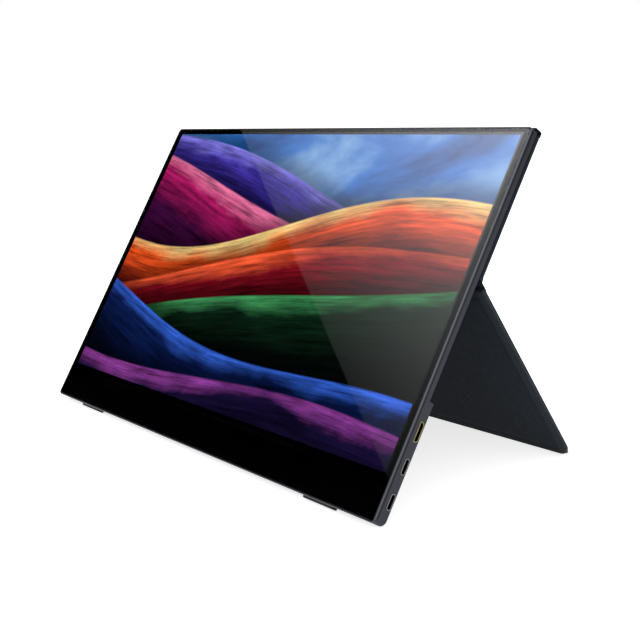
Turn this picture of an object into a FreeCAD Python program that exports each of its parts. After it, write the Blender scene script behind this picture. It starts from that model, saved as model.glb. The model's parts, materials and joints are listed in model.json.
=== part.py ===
"""A thin portable monitor that leans on its own folio cover.

Every piece of the monitor is drawn in the panel's frame: x to the right, y up
the screen from the bottom edge of the frame, z out of the screen from the face
of the glass. A depth is a distance behind that face. The cover's spine, web
and flap are drawn in frames of their own, each with its origin on a fold line.
The finished assembly leans back so that the feet and the flap's lower edge
stand on the plane Z = 0.
"""
import FreeCAD, Part
import math
import os
import Sketcher

from FreeCAD import Placement, Rotation, Vector

# Driving dimensions in millimetres, angles in degrees.
SIZES = {
    # Screen and borders
    "active_width": 344.16,
    "active_height": 193.6,
    "side_border": 6.42,
    "top_border": 4.7,
    "chin_border": 26.0,
    # Front frame
    "frame_depth": 1.5,
    "frame_corner": 3.0,
    "rim_width": 1.2,
    "rim_chamfer": 0.4,
    "boss_radius": 2.3,
    "boss_edge": 6.5,
    "boss_pitch": 100.0,
    # Glass and display stack
    "glass_thick": 0.8,
    "glass_tape_thick": 0.2,
    "glass_tape_width": 2.6,
    "cell_thick": 0.9,
    "cell_border": 1.6,
    "cell_lower_border": 4.0,
    "films_thick": 0.3,
    "guide_thick": 0.5,
    "reflector_thick": 0.2,
    "tray_thick": 0.3,
    "tray_wall": 0.4,
    "led_bar_height": 1.6,
    "panel_tape_thick": 0.3,
    "panel_tape_width": 10.0,
    "panel_tape_edge": 24.0,
    # Rear housing
    "seam_gap": 0.5,
    "seam_inset": 0.8,
    "side_wall": 1.7,
    "back_wall": 1.5,
    "bay_wall": 1.4,
    "bay_depth": 9.4,
    "bay_height": 67.8,
    "bay_corner": 4.0,
    "bay_chamfer": 1.0,
    "counterbore_depth": 0.8,
    # Speakers and their slots
    "speaker_length": 48.0,
    "speaker_height": 14.0,
    "speaker_thick": 3.2,
    "speaker_edge": 32.0,
    "speaker_level": 18.0,
    "speaker_corner": 4.0,
    "grille_slot_width": 1.2,
    "grille_slot_height": 9.0,
    "grille_pitch": 4.0,
    # Boards
    "board_gap": 0.65,
    "board_thick": 0.8,
    "board_width": 78.6,
    "board_low": 9.5,
    "board_high": 62.0,
    "board_screw_edge": 5.0,
    "board_screw_inset": 14.4,
    "standoff_radius": 2.1,
    "chip_side": 14.0,
    "chip_thick": 1.2,
    "chip_level": 36.0,
    "chip_edge": 46.5,
    "driver_length": 180.0,
    "driver_height": 14.0,
    "driver_across": -30.0,
    "driver_level": 34.0,
    "flex_thick": 0.2,
    "flex_width": 28.0,
    "flex_pitch": 46.0,
    "flex_drop": 1.0,
    "flex_lap": 3.0,
    "cable_width": 12.0,
    "cable_thick": 0.2,
    "cable_lap": 6.0,
    "key_cable_width": 5.0,
    "key_cable_level": 44.0,
    # Sockets on the right
    "port_first": 13.3,
    "port_pitch": 19.0,
    "usb_length": 8.94,
    "usb_height": 3.26,
    "usb_shell": 0.33,
    "usb_deep": 7.4,
    "usb_tongue_length": 6.69,
    "usb_tongue_thick": 0.7,
    "usb_tongue_setback": 1.4,
    "hdmi_length": 11.2,
    "hdmi_height": 3.2,
    "hdmi_shell": 0.36,
    "hdmi_taper": 1.1,
    "hdmi_deep": 7.6,
    "hdmi_tongue_length": 7.6,
    "hdmi_tongue_thick": 0.8,
    "port_floor": 1.0,
    # Keys and audio socket on the left
    "key_depth": 5.9,
    "key_height": 2.4,
    "key_proud": 0.5,
    "key_flange": 0.8,
    "key_flange_margin": 0.6,
    "power_level": 16.0,
    "power_length": 8.6,
    "power_travel": 0.3,
    "rocker_level": 34.0,
    "rocker_length": 16.0,
    "rocker_gap": 0.6,
    "rocker_lug_radius": 1.5,
    "rocker_lug_height": 2.0,
    "rocker_pivot_inset": 2.6,
    "rocker_pin_radius": 0.6,
    "bracket_thick": 0.8,
    "bracket_width": 4.0,
    "switch_length": 4.5,
    "switch_deep": 3.2,
    "switch_reach": 0.7,
    "switch_plunger": 0.6,
    "rocker_switch_arm": 6.0,
    "key_board_width": 9.0,
    "key_board_low": 9.5,
    "key_board_high": 47.0,
    "jack_level": 56.0,
    "jack_bore": 1.8,
    "jack_collar": 2.6,
    "jack_width": 6.2,
    "jack_deep": 14.0,
    "jack_bore_deep": 12.0,
    # Screws
    "screw_radius": 0.95,
    "screw_head_radius": 1.8,
    "screw_head_thick": 0.6,
    "screw_recess_radius": 0.7,
    "screw_recess_deep": 0.35,
    "board_screw_head": 0.45,
    # Feet
    "foot_length": 24.0,
    "foot_edge": 47.5,
    "foot_drop": 1.3,
    "foot_front": 2.4,
    "foot_rear": 7.0,
    # Folio cover
    "cover_inset": 1.0,
    "leather_thick": 0.7,
    "board_core_thick": 1.6,
    "core_inset": 1.3,
    "sheet_glue_thick": 0.4,
    "sheet_glue_inset": 1.0,
    "sheet_thick": 0.7,
    "sheet_rise": 3.0,
    "sheet_corner": 5.0,
    "lid_gap": 0.4,
    "lid_corner": 2.5,
    "lip_thick": 0.4,
    "spine_start": 0.4,
    "spine_clear": 0.3,
    "fold_gap": 0.55,
    "crease_level": 136.8,
    "crease_web": 3.6,
    "flap_reach": 133.5,
    "flap_corner": 7.0,
    "stand_open_angle": 66.0,
    "edge_round": 0.5,
    # Magnets
    "magnet_length": 24.0,
    "magnet_width": 8.0,
    "magnet_thick": 1.0,
    "magnet_pitch": 90.0,
    "magnet_edge": 12.0,
    "frame_magnet_edge": 63.5,
    "frame_magnet_level": 13.0,
    # Clearances
    "slip": 0.1,
    "loose": 0.15,
    "screw_slip": 0.05,
    "cut_overrun": 1.0,
}
GRILLE_SLOTS = 9
SCREW_COUNT = 4
FLEX_COUNT = 4
LID_MAGNETS = 4
TOUCH = 1e-4

doc = FreeCAD.newDocument("portable_monitor")
sheet = doc.addObject("Spreadsheet::Sheet", "Sizes")
for row, (alias, number) in enumerate(SIZES.items(), 1):
    sheet.set(f"A{row}", alias)
    sheet.set(f"B{row}", str(number))
    sheet.setAlias(f"B{row}", alias)
doc.recompute()


class Size:
    """A length: its number, and the sum of sheet cells that gives it."""

    def __init__(self, number, text):
        self.number = number
        self.text = text

    def __float__(self):
        return float(self.number)

    def __neg__(self):
        return Size(-self.number, f"-({self.text})")

    def __add__(self, other):
        other = as_size(other)
        return Size(self.number + other.number, f"({self.text} + {other.text})")

    def __sub__(self, other):
        other = as_size(other)
        return Size(self.number - other.number, f"({self.text} - {other.text})")

    def __mul__(self, factor):
        return Size(self.number * factor, f"{self.text} * {factor}")

    def __truediv__(self, factor):
        return Size(self.number / factor, f"{self.text} / {factor}")

    __rmul__ = __mul__


def as_size(value):
    """Wrap a plain zero so that it can stand in a sum of sizes."""
    return value if isinstance(value, Size) else Size(value, str(value))


class SheetSizes:
    """The sheet's cells as sizes, by their aliases."""

    def __getattr__(self, alias):
        return Size(float(sheet.get(alias)), f"Sizes.{alias}")


d = SheetSizes()

# Sizes worked out from the driving ones
frame_width = d.active_width + 2 * d.side_border
frame_height = d.chin_border + d.active_height + d.top_border
frame_half = frame_width / 2
glass_half = frame_half - d.rim_width - d.slip
glass_low = d.rim_width + d.slip
glass_high = frame_height - d.rim_width - d.slip
cell_half = d.active_width / 2 + d.cell_border
cell_low = d.chin_border - d.cell_lower_border
cell_high = d.chin_border + d.active_height + d.cell_border
tray_half = cell_half + d.slip + d.tray_wall
tray_low = cell_low - d.slip - d.tray_wall
tray_high = cell_high + d.slip + d.tray_wall

cell_front = d.glass_thick + d.glass_tape_thick
films_front = cell_front + d.cell_thick
guide_front = films_front + d.films_thick
reflector_front = guide_front + d.guide_thick
tray_front = reflector_front + d.reflector_thick
tray_rear = tray_front + d.tray_thick
cavity_rear = tray_rear + d.panel_tape_thick
thin_depth = cavity_rear + d.back_wall
housing_front = d.frame_depth + d.seam_gap
bay_inner = d.bay_depth - d.bay_wall
inner_half = frame_half - d.side_wall
bay_inner_high = d.bay_height - d.bay_wall

board_front = tray_rear + d.board_gap
board_rear = board_front + d.board_thick
board_right = inner_half - 2 * d.slip
board_left = board_right - d.board_width
chip_across = frame_half - d.chip_edge
speaker_centre = board_left - d.speaker_edge
foot_centre = frame_half - d.foot_edge
frame_magnet_centre = frame_half - d.frame_magnet_edge
usb_depth = board_rear + d.usb_height / 2
hdmi_depth = board_rear + d.hdmi_height / 2
key_board_front = d.key_depth + d.key_height / 2
key_board_outer = inner_half - d.key_flange - 2 * d.slip - d.power_travel
rocker_pivot = inner_half - d.rocker_pivot_inset

cover_half = frame_half - d.cover_inset
sheet_front = thin_depth + d.sheet_glue_thick
sheet_low = d.bay_height + d.sheet_rise
leather_half = d.leather_thick / 2
sheet_rear = sheet_front + d.sheet_thick
lip_high = frame_height + d.lip_thick
spine_level = lip_high + d.spine_clear + leather_half
lid_front = sheet_rear + d.lid_gap
core_front = lid_front + d.leather_thick
lining_front = core_front + d.board_core_thick
fold_depth = lining_front + leather_half
# The spine lies as far behind its fold when open as before it when closed
spine_depth = (fold_depth - d.lid_gap - leather_half) / 2
spine_width = fold_depth - spine_depth
lid_high = lip_high
lid_low = d.crease_level + d.fold_gap
flap_top = d.crease_web + d.fold_gap
flap_face = leather_half + d.board_core_thick + d.leather_thick


def fold_frames():
    """Give each fold's place in the panel's frame as (y, z, turn about x)."""
    level = float(spine_level)
    depth = float(fold_depth)
    flap_turn = float(d.stand_open_angle)
    slope = math.radians(flap_turn)
    web = float(d.crease_web)
    crease = float(d.crease_level)
    return {
        "panel": (0, 0, 0),
        "spine": (level, -float(spine_depth), -90),
        "lid": (level, -depth, 0),
        "flap": (crease, -depth, flap_turn),
        "stand": (crease - web * math.cos(slope), -depth - web * math.sin(slope), flap_turn),
    }


FOLDS = fold_frames()


def lean_angle():
    """Give the panel's angle to the table, where feet and flap both touch it.

    The feet's rear edge and the flap's lower edge have the same rounding, so
    the table is parallel to the line through the two rounding centres.
    """
    rounding = float(d.edge_round)
    foot = Vector(0, rounding - float(d.foot_drop), rounding - float(d.foot_rear))
    level, depth, turn = FOLDS["flap"]
    edge = Vector(0, rounding - float(d.flap_reach), float(flap_face) - rounding)
    edge = Rotation(Vector(1, 0, 0), turn).multVec(edge) + Vector(0, level, depth)
    run = edge - foot
    return math.degrees(math.atan2(-run.z, run.y))


LEAN = lean_angle()
NODES = []


def frame_placement(frame, shift=Vector(0, 0, 0)):
    """Place a fold's frame in the leaning assembly."""
    level, depth, turn = FOLDS[frame]
    leaning = Placement(shift, Rotation(Vector(1, 0, 0), LEAN))
    return leaning * Placement(Vector(0, level, depth), Rotation(Vector(1, 0, 0), turn))


def new_body(label, frame="panel"):
    """Start a piece in one of the frames."""
    body = doc.addObject("PartDesign::Body", label)
    body.Label = label
    body.Placement = frame_placement(frame)
    NODES.append((body, frame))
    return body


def bind(sketch, constraint, size):
    """Add a dimension to a sketch and bind it to the sheet."""
    index = sketch.addConstraint(constraint)
    sketch.setExpression(f"Constraints[{index}]", size.text)


def pin_point(sketch, geometry, point, x, y):
    """Fix a point of a sketch at (x, y)."""
    for kind, axis, size in (("DistanceX", -2, as_size(x)), ("DistanceY", -1, as_size(y))):
        if size.text == "0":
            sketch.addConstraint(Sketcher.Constraint("PointOnObject", geometry, point, axis))
        else:
            bind(sketch, Sketcher.Constraint(kind, -1, 1, geometry, point, size.number), size)


def new_sketch(body, name, plane="XY_Plane", offset=0):
    """Start a sketch on one of the body's planes, moved along its normal."""
    sketch = body.newObject("Sketcher::SketchObject", f"{body.Label}_{name}")
    support = next(item for item in body.Origin.OriginFeatures if item.Role == plane)
    sketch.AttachmentSupport = (support, [""])
    sketch.MapMode = "FlatFace"
    sketch.setExpression("AttachmentOffset.Base.z", as_size(offset).text)
    return sketch


def outline(sketch, points):
    """Draw a closed outline of straight lines through points given as sizes."""
    first = sketch.GeometryCount
    count = len(points)
    corners = [Vector(float(x), float(y), 0) for x, y in points]
    for index, corner in enumerate(corners):
        sketch.addGeometry(Part.LineSegment(corner, corners[(index + 1) % count]))
    for index in range(count):
        following = first + (index + 1) % count
        sketch.addConstraint(Sketcher.Constraint("Coincident", first + index, 2, following, 1))
    for index, (x, y) in enumerate(points):
        pin_point(sketch, first + index, 1, x, y)


def rectangle(sketch, left, right, low, high):
    """Draw a rectangle between two corners."""
    outline(sketch, [(left, low), (right, low), (right, high), (left, high)])


def disc(sketch, x, y, radius):
    """Draw a circle."""
    centre = Vector(float(x), float(y), 0)
    index = sketch.addGeometry(Part.Circle(centre, Vector(0, 0, 1), float(radius)))
    pin_point(sketch, index, 3, x, y)
    bind(sketch, Sketcher.Constraint("Radius", index, float(radius)), radius)


def hexagon(sketch, x, y, radius):
    """Draw a hexagon, given by the radius of its corners."""
    turns = [math.radians(60 * index) for index in range(6)]
    outline(sketch, [(x + radius * round(math.cos(turn), 6), y + radius * round(math.sin(turn), 6))
                     for turn in turns])


def slot(sketch, x, y, length, width):
    """Draw a slot with round ends, long along the sketch's first axis."""
    radius = width / 2
    reach = length / 2 - radius
    first = sketch.GeometryCount
    up = Vector(0, 0, 1)
    centres = [(as_size(x) + reach, y), (as_size(x) - reach, y)]
    starts = [-math.pi / 2, math.pi / 2]
    for (cx, cy), start in zip(centres, starts):
        circle = Part.Circle(Vector(float(cx), float(cy), 0), up, float(radius))
        sketch.addGeometry(Part.ArcOfCircle(circle, start, start + math.pi))
    for index, (cx, cy) in enumerate(centres):
        pin_point(sketch, first + index, 3, cx, cy)
        bind(sketch, Sketcher.Constraint("Radius", first + index, float(radius)), radius)
    right, left = (sketch.Geometry[first], sketch.Geometry[first + 1])
    sketch.addGeometry(Part.LineSegment(right.EndPoint, left.StartPoint))
    sketch.addGeometry(Part.LineSegment(left.EndPoint, right.StartPoint))
    joins = [(2, 1, 0, 2), (2, 2, 1, 1), (3, 1, 1, 2), (3, 2, 0, 1)]
    for line, line_end, arc, arc_end in joins:
        tangent = Sketcher.Constraint("Tangent", first + line, line_end, first + arc, arc_end)
        sketch.addConstraint(tangent)


def pad(body, sketch, length, back=False):
    """Extrude a sketch along its normal, or backwards."""
    feature = body.newObject("PartDesign::Pad", sketch.Name + "_pad")
    feature.Profile = sketch
    feature.Reversed = back
    feature.setExpression("Length", length.text)
    doc.recompute()
    return feature


def cut(body, sketch, length, forward=False):
    """Pocket a sketch against its normal, or along it, and see that it cuts."""
    before = body.Tip.Shape.Volume
    feature = body.newObject("PartDesign::Pocket", sketch.Name + "_cut")
    feature.Profile = sketch
    feature.Reversed = forward
    feature.setExpression("Length", length.text)
    doc.recompute()
    if feature.Shape.Volume >= before:
        raise ValueError(f"{sketch.Name} cuts nothing")
    return feature


def repeat(body, features, sketch, axis, span, count):
    """Repeat features in a row that is span long."""
    row = body.newObject("PartDesign::LinearPattern", features[0].Name + "_row")
    row.Originals = features
    row.Direction = (sketch, [axis])
    row.setExpression("Length", span.text)
    row.Occurrences = count
    body.Tip = row
    doc.recompute()
    return row


def dress(body, kind, prop, size, wanted):
    """Round or chamfer those edges of the body that the test picks."""
    base = body.Tip
    names = [f"Edge{n}" for n, edge in enumerate(base.Shape.Edges, 1) if wanted(edge)]
    feature = body.newObject(f"PartDesign::{kind}", f"{base.Name}_{kind.lower()}")
    feature.Base = (base, names)
    feature.setExpression(prop, size.text)
    doc.recompute()
    return feature


def near(value, size):
    """Say whether a coordinate is a size."""
    return math.isclose(value, float(size), abs_tol=TOUCH)


def box_of(edge):
    """Give an edge's box."""
    return edge.BoundBox


def upright(low=None, high=None):
    """Make a test for edges along z, between two heights if they are given."""

    def wanted(edge):
        box = box_of(edge)
        thin = box.XLength < TOUCH and box.YLength < TOUCH
        above = low is None or box.YMin > float(low)
        below = high is None or box.YMax < float(high)
        return thin and above and below

    return wanted


def at_depth(depth, inside=None):
    """Make a test for edges that lie at one depth, inside a half width if given."""

    def wanted(edge):
        box = box_of(edge)
        flat = near(box.ZMin, -depth) and near(box.ZMax, -depth)
        return flat and (inside is None or max(abs(box.XMin), abs(box.XMax)) > float(inside))

    return wanted


def slab(body, name, left, right, low, high, front, thick, corner=None):
    """Pad a rectangle backwards from a depth, with round corners if given."""
    sketch = new_sketch(body, name, offset=-front)
    rectangle(sketch, left, right, low, high)
    feature = pad(body, sketch, thick, back=True)
    if corner is not None:
        feature = dress(body, "Fillet", "Radius", corner, upright())
    return feature


def hollow(body, name, left, right, low, high, front, deep):
    """Cut a rectangle backwards from a depth."""
    sketch = new_sketch(body, name, offset=-front)
    rectangle(sketch, left, right, low, high)
    return cut(body, sketch, deep)


def plate(label, half, low, high, front, thick, corner=None, frame="panel"):
    """Make a flat piece that is centred across the panel."""
    body = new_body(label, frame)
    slab(body, "plan", -half, half, low, high, front, thick, corner)
    return body


# Front frame, glass and display stack
def build_front_frame():
    """Make the rim and ledge under the glass, with screw bosses behind the chin."""
    body = new_body("front_frame")
    slab(body, "plan", -frame_half, frame_half, as_size(0), frame_height, as_size(0),
         d.frame_depth, d.frame_corner)
    dress(body, "Chamfer", "Size", d.rim_chamfer, at_depth(as_size(0)))
    hollow(body, "glass_seat", -(glass_half + d.slip), glass_half + d.slip, glass_low - d.slip,
           glass_high + d.slip, as_size(0), cell_front)
    hollow(body, "window", -(cell_half + d.slip), cell_half + d.slip, cell_low - d.slip,
           cell_high + d.slip, as_size(0), d.frame_depth + d.cut_overrun)
    span = d.boss_pitch * (SCREW_COUNT - 1)
    plan = new_sketch(body, "boss", offset=-d.frame_depth)
    disc(plan, -span / 2, d.boss_edge, d.boss_radius)
    boss = pad(body, plan, bay_inner - d.frame_depth, back=True)
    pilot = new_sketch(body, "pilot", offset=-bay_inner)
    disc(pilot, -span / 2, d.boss_edge, d.screw_radius + d.screw_slip)
    hole = cut(body, pilot, bay_inner - d.frame_depth, forward=True)
    repeat(body, [boss, hole], plan, "H_Axis", span, SCREW_COUNT)


def build_display():
    """Make the glass, its tape, and the layers of the display behind it."""
    plate("cover_glass", glass_half, glass_low, glass_high, as_size(0), d.glass_thick,
          d.frame_corner - d.rim_width)
    tape = plate("glass_tape", glass_half, glass_low, glass_high, d.glass_thick,
                 d.glass_tape_thick, d.frame_corner - d.rim_width)
    inner = cell_half + d.slip
    hollow(tape, "window", -inner, inner, cell_low - d.slip, cell_high + d.slip, d.glass_thick,
           d.glass_tape_thick + d.cut_overrun)
    plate("lcd_cell", cell_half, cell_low, cell_high, cell_front, d.cell_thick)
    plate("optical_films", cell_half, cell_low, cell_high, films_front, d.films_thick)
    guide_low = cell_low + d.led_bar_height
    plate("light_guide", cell_half, guide_low, cell_high, guide_front, d.guide_thick)
    plate("led_bar", cell_half, cell_low, guide_low, guide_front, d.guide_thick)
    plate("reflector_sheet", cell_half, cell_low, cell_high, reflector_front, d.reflector_thick)
    tray = plate("panel_tray", tray_half, tray_low, tray_high, d.frame_depth,
                 tray_rear - d.frame_depth)
    hollow(tray, "pan", -(tray_half - d.tray_wall), tray_half - d.tray_wall,
           tray_low + d.tray_wall, tray_high - d.tray_wall, d.frame_depth,
           tray_front - d.frame_depth)
    gate = d.flex_pitch * (FLEX_COUNT - 1) / 2 + d.flex_width / 2 + d.slip
    hollow(tray, "flex_gate", d.driver_across - gate, d.driver_across + gate,
           tray_low - d.cut_overrun, tray_low + d.tray_wall, d.frame_depth, d.flex_thick + d.slip)
    build_panel_tape()


def build_panel_tape():
    """Make the two strips that hold the panel tray in the thin part."""
    body = new_body("panel_tape")
    outer = inner_half - d.panel_tape_edge
    sketch = new_sketch(body, "plan", offset=-tray_rear)
    low = d.bay_height + d.panel_tape_width
    high = tray_high - d.panel_tape_width
    rectangle(sketch, outer - d.panel_tape_width, outer, low, high)
    rectangle(sketch, -outer, -(outer - d.panel_tape_width), low, high)
    pad(body, sketch, d.panel_tape_thick, back=True)


# Rear housing
def build_rear_housing():
    """Make the thin back above the bay, with the tongue that sets the seam."""
    body = new_body("rear_housing")
    slab(body, "back", -frame_half, frame_half, d.bay_height, frame_height, housing_front,
         thin_depth - housing_front)
    dress(body, "Fillet", "Radius", d.frame_corner, upright(low=d.bay_height + d.bay_corner))
    tongue = frame_half - d.seam_inset
    slab(body, "tongue", -tongue, tongue, d.bay_height, frame_height - d.seam_inset,
         d.frame_depth, d.seam_gap)
    hollow(body, "cavity", -inner_half, inner_half, d.bay_height - d.cut_overrun,
           frame_height - d.side_wall, d.frame_depth, cavity_rear - d.frame_depth)


def build_bay_shell(body):
    """Make the bay's shell: open to the front, and to the thin back above it."""
    slab(body, "bay", -frame_half, frame_half, as_size(0), d.bay_height, housing_front,
         d.bay_depth - housing_front)
    dress(body, "Fillet", "Radius", d.bay_corner, upright(high=d.bay_corner))
    dress(body, "Chamfer", "Size", d.bay_chamfer, at_depth(d.bay_depth))
    tongue = frame_half - d.seam_inset
    slab(body, "tongue", -tongue, tongue, d.seam_inset, d.bay_height, d.frame_depth, d.seam_gap)
    hollow(body, "cavity", -inner_half, inner_half, d.side_wall, d.bay_height + d.cut_overrun,
           d.frame_depth, cavity_rear - d.frame_depth)
    hollow(body, "bay_cavity", -inner_half, inner_half, d.side_wall, bay_inner_high,
           d.frame_depth, bay_inner - d.frame_depth)


def cut_bay_sockets(body):
    """Cut the mouths for sockets in the right wall and for keys in the left one."""
    through = d.side_wall + d.cut_overrun
    right = new_sketch(body, "socket_mouths", "YZ_Plane", frame_half + d.cut_overrun)
    for step in range(2):
        level = d.port_first + d.port_pitch * step
        slot(right, level, -usb_depth, d.usb_length + 2 * d.loose, d.usb_height + 2 * d.loose)
    hdmi_outline(right, d.loose)
    cut(body, right, through + d.cut_overrun)
    left = new_sketch(body, "key_mouths", "YZ_Plane", -(frame_half + d.cut_overrun))
    slot(left, d.power_level, -d.key_depth, d.power_length + 2 * d.loose,
         d.key_height + 2 * d.loose)
    slot(left, d.rocker_level, -d.key_depth, d.rocker_length + 4 * d.loose,
         d.key_height + 4 * d.loose)
    disc(left, d.jack_level, -d.key_depth, d.jack_collar + d.loose)
    cut(body, left, through + d.cut_overrun, forward=True)


def board_screw_places():
    """Give the places of the main board's two screws, on a diagonal, as (x, y)."""
    across = (board_left + d.board_screw_edge, board_right - d.board_screw_inset)
    levels = (d.board_low + d.board_screw_edge, d.board_high - d.board_screw_edge)
    return list(zip(across, levels))


def build_bay_cover():
    """Make the thick lower back with its socket mouths, slots and standoffs."""
    body = new_body("bay_cover")
    build_bay_shell(body)
    cut_bay_sockets(body)
    standoffs = new_sketch(body, "standoffs", offset=-bay_inner)
    for x, y in board_screw_places():
        disc(standoffs, x, y, d.standoff_radius)
    pad(body, standoffs, bay_inner - board_rear)
    pilots = new_sketch(body, "pilots", offset=-board_rear)
    for x, y in board_screw_places():
        disc(pilots, x, y, d.screw_radius + d.screw_slip)
    cut(body, pilots, bay_inner - board_rear)
    span = d.boss_pitch * (SCREW_COUNT - 1)
    holes = new_sketch(body, "screw_holes", offset=-d.bay_depth - d.cut_overrun)
    bores = new_sketch(body, "screw_heads", offset=-d.bay_depth - d.cut_overrun)
    for index in range(SCREW_COUNT):
        across = d.boss_pitch * index - span / 2
        disc(holes, across, d.boss_edge, d.screw_radius + d.slip)
        disc(bores, across, d.boss_edge, d.screw_head_radius + d.slip)
    cut(body, holes, d.bay_wall + 2 * d.cut_overrun, forward=True)
    cut(body, bores, d.counterbore_depth + d.cut_overrun, forward=True)
    cut_grilles(body)


def cut_grilles(body):
    """Cut a row of sound slots behind each speaker."""
    span = d.grille_pitch * (GRILLE_SLOTS - 1)
    first = speaker_centre - span / 2
    half = d.grille_slot_width / 2
    sketch = new_sketch(body, "grille", offset=-d.bay_depth - d.cut_overrun)
    rectangle(sketch, first - half, first + half, d.speaker_level - d.grille_slot_height / 2,
              d.speaker_level + d.grille_slot_height / 2)
    opening = cut(body, sketch, d.bay_wall + 2 * d.cut_overrun, forward=True)
    repeat(body, [opening], sketch, "H_Axis", span, GRILLE_SLOTS)
    other = new_sketch(body, "grille_left", offset=-d.bay_depth - d.cut_overrun)
    rectangle(other, -first - half, -first + half, d.speaker_level - d.grille_slot_height / 2,
              d.speaker_level + d.grille_slot_height / 2)
    opening = cut(body, other, d.bay_wall + 2 * d.cut_overrun, forward=True)
    repeat(body, [opening], other, "H_Axis", span, GRILLE_SLOTS).Reversed = True
    doc.recompute()


# Boards, cables and speakers in the bay
def build_main_board():
    """Make the main board with its chip, thermal pad and screws."""
    body = new_body("main_board")
    slab(body, "plan", board_left, board_right, d.board_low, d.board_high, board_front,
         d.board_thick)
    holes = new_sketch(body, "screw_holes", offset=-board_front + d.cut_overrun)
    for x, y in board_screw_places():
        disc(holes, x, y, d.screw_radius + d.slip)
    cut(body, holes, d.board_thick + 2 * d.cut_overrun)
    half = d.chip_side / 2
    chip = new_body("scaler_chip")
    slab(chip, "plan", chip_across - half, chip_across + half, d.chip_level - half,
         d.chip_level + half, board_rear, d.chip_thick)
    pad_front = board_rear + d.chip_thick
    cushion = new_body("thermal_pad")
    slab(cushion, "plan", chip_across - half, chip_across + half, d.chip_level - half,
         d.chip_level + half, pad_front, bay_inner - pad_front)
    screws = new_body("board_screws")
    heads = new_sketch(screws, "heads", offset=-board_front)
    shanks = new_sketch(screws, "shanks", offset=-board_front)
    for x, y in board_screw_places():
        disc(heads, x, y, d.screw_head_radius)
        disc(shanks, x, y, d.screw_radius)
    pad(screws, heads, d.board_screw_head)
    pad(screws, shanks, (bay_inner - board_front) - d.bay_wall / 2, back=True)


def build_driver():
    """Make the panel's driver board, its flex tabs and the cable to the main board."""
    body = new_body("driver_board")
    left = d.driver_across - d.driver_length / 2
    right = d.driver_across + d.driver_length / 2
    low = d.driver_level - d.driver_height / 2
    slab(body, "plan", left, right, low, low + d.driver_height, tray_rear, d.board_thick)
    lap_rear = tray_rear + d.board_thick
    flexes = new_body("driver_flexes")
    span = d.flex_pitch * (FLEX_COUNT - 1)
    side = new_sketch(flexes, "side", "YZ_Plane", d.driver_across - span / 2 - d.flex_width / 2)
    front = d.frame_depth
    outer = tray_low - d.flex_drop
    inner = outer + d.flex_thick
    outline(side, [
        (cell_low, -front), (outer, -front), (outer, -(lap_rear + d.flex_thick)),
        (low + d.flex_lap, -(lap_rear + d.flex_thick)), (low + d.flex_lap, -lap_rear),
        (inner, -lap_rear), (inner, -(front + d.flex_thick)), (cell_low, -(front + d.flex_thick)),
    ])
    tab = pad(flexes, side, d.flex_width)
    repeat(flexes, [tab], side, "N_Axis", span, FLEX_COUNT)
    cable = new_body("panel_cable")
    bend = new_sketch(cable, "side", "XZ_Plane", -(d.driver_level + d.cable_width / 2))
    lap = d.cable_lap
    thick = d.cable_thick
    outline(bend, [
        (right - lap, -lap_rear), (right + thick, -lap_rear), (right + thick, -board_rear),
        (board_left + lap, -board_rear), (board_left + lap, -(board_rear + thick)),
        (right, -(board_rear + thick)), (right, -(lap_rear + thick)),
        (right - lap, -(lap_rear + thick)),
    ])
    pad(cable, bend, d.cable_width)


def build_speakers():
    """Make the two flat speakers on the bay's back wall, and the key cable."""
    for label, side in (("speaker_left", -1), ("speaker_right", 1)):
        centre = speaker_centre * side
        half = d.speaker_length / 2
        body = new_body(label)
        slab(body, "plan", centre - half, centre + half, d.speaker_level - d.speaker_height / 2,
             d.speaker_level + d.speaker_height / 2, bay_inner - d.speaker_thick,
             d.speaker_thick, d.speaker_corner)
    cable = new_body("key_cable")
    low = d.key_cable_level - d.key_cable_width / 2
    start = -(key_board_outer - d.key_board_width)
    slab(cable, "plan", start, board_left, low, low + d.key_cable_width,
         bay_inner - d.cable_thick, d.cable_thick)


# Sockets in the right wall
def build_usb_socket(label, level):
    """Make a USB-C shell with its round-ended mouth and its tongue."""
    body = new_body(label)
    rear = frame_half - d.usb_deep
    shell = new_sketch(body, "shell", "YZ_Plane", rear)
    slot(shell, level, -usb_depth, d.usb_length, d.usb_height)
    pad(body, shell, d.usb_deep)
    mouth = new_sketch(body, "mouth", "YZ_Plane", frame_half + d.cut_overrun)
    slot(mouth, level, -usb_depth, d.usb_length - 2 * d.usb_shell, d.usb_height - 2 * d.usb_shell)
    cut(body, mouth, d.usb_deep - d.port_floor + d.cut_overrun)
    tongue = new_sketch(body, "tongue", "YZ_Plane", rear + d.port_floor)
    half = d.usb_tongue_length / 2
    rise = d.usb_tongue_thick / 2
    rectangle(tongue, level - half, level + half, -usb_depth - rise, -usb_depth + rise)
    pad(body, tongue, d.usb_deep - d.port_floor - d.usb_tongue_setback)


def hdmi_outline(sketch, margin):
    """Draw the mini HDMI mouth: a flat top and two tapered lower corners."""
    level = d.port_first + d.port_pitch * 2
    half = d.hdmi_length / 2 + margin
    rise = d.hdmi_height / 2 + margin
    outline(sketch, [
        (level - half, -hdmi_depth + rise), (level - half, -hdmi_depth),
        (level - half + d.hdmi_taper, -hdmi_depth - rise),
        (level + half - d.hdmi_taper, -hdmi_depth - rise),
        (level + half, -hdmi_depth), (level + half, -hdmi_depth + rise),
    ])


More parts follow.
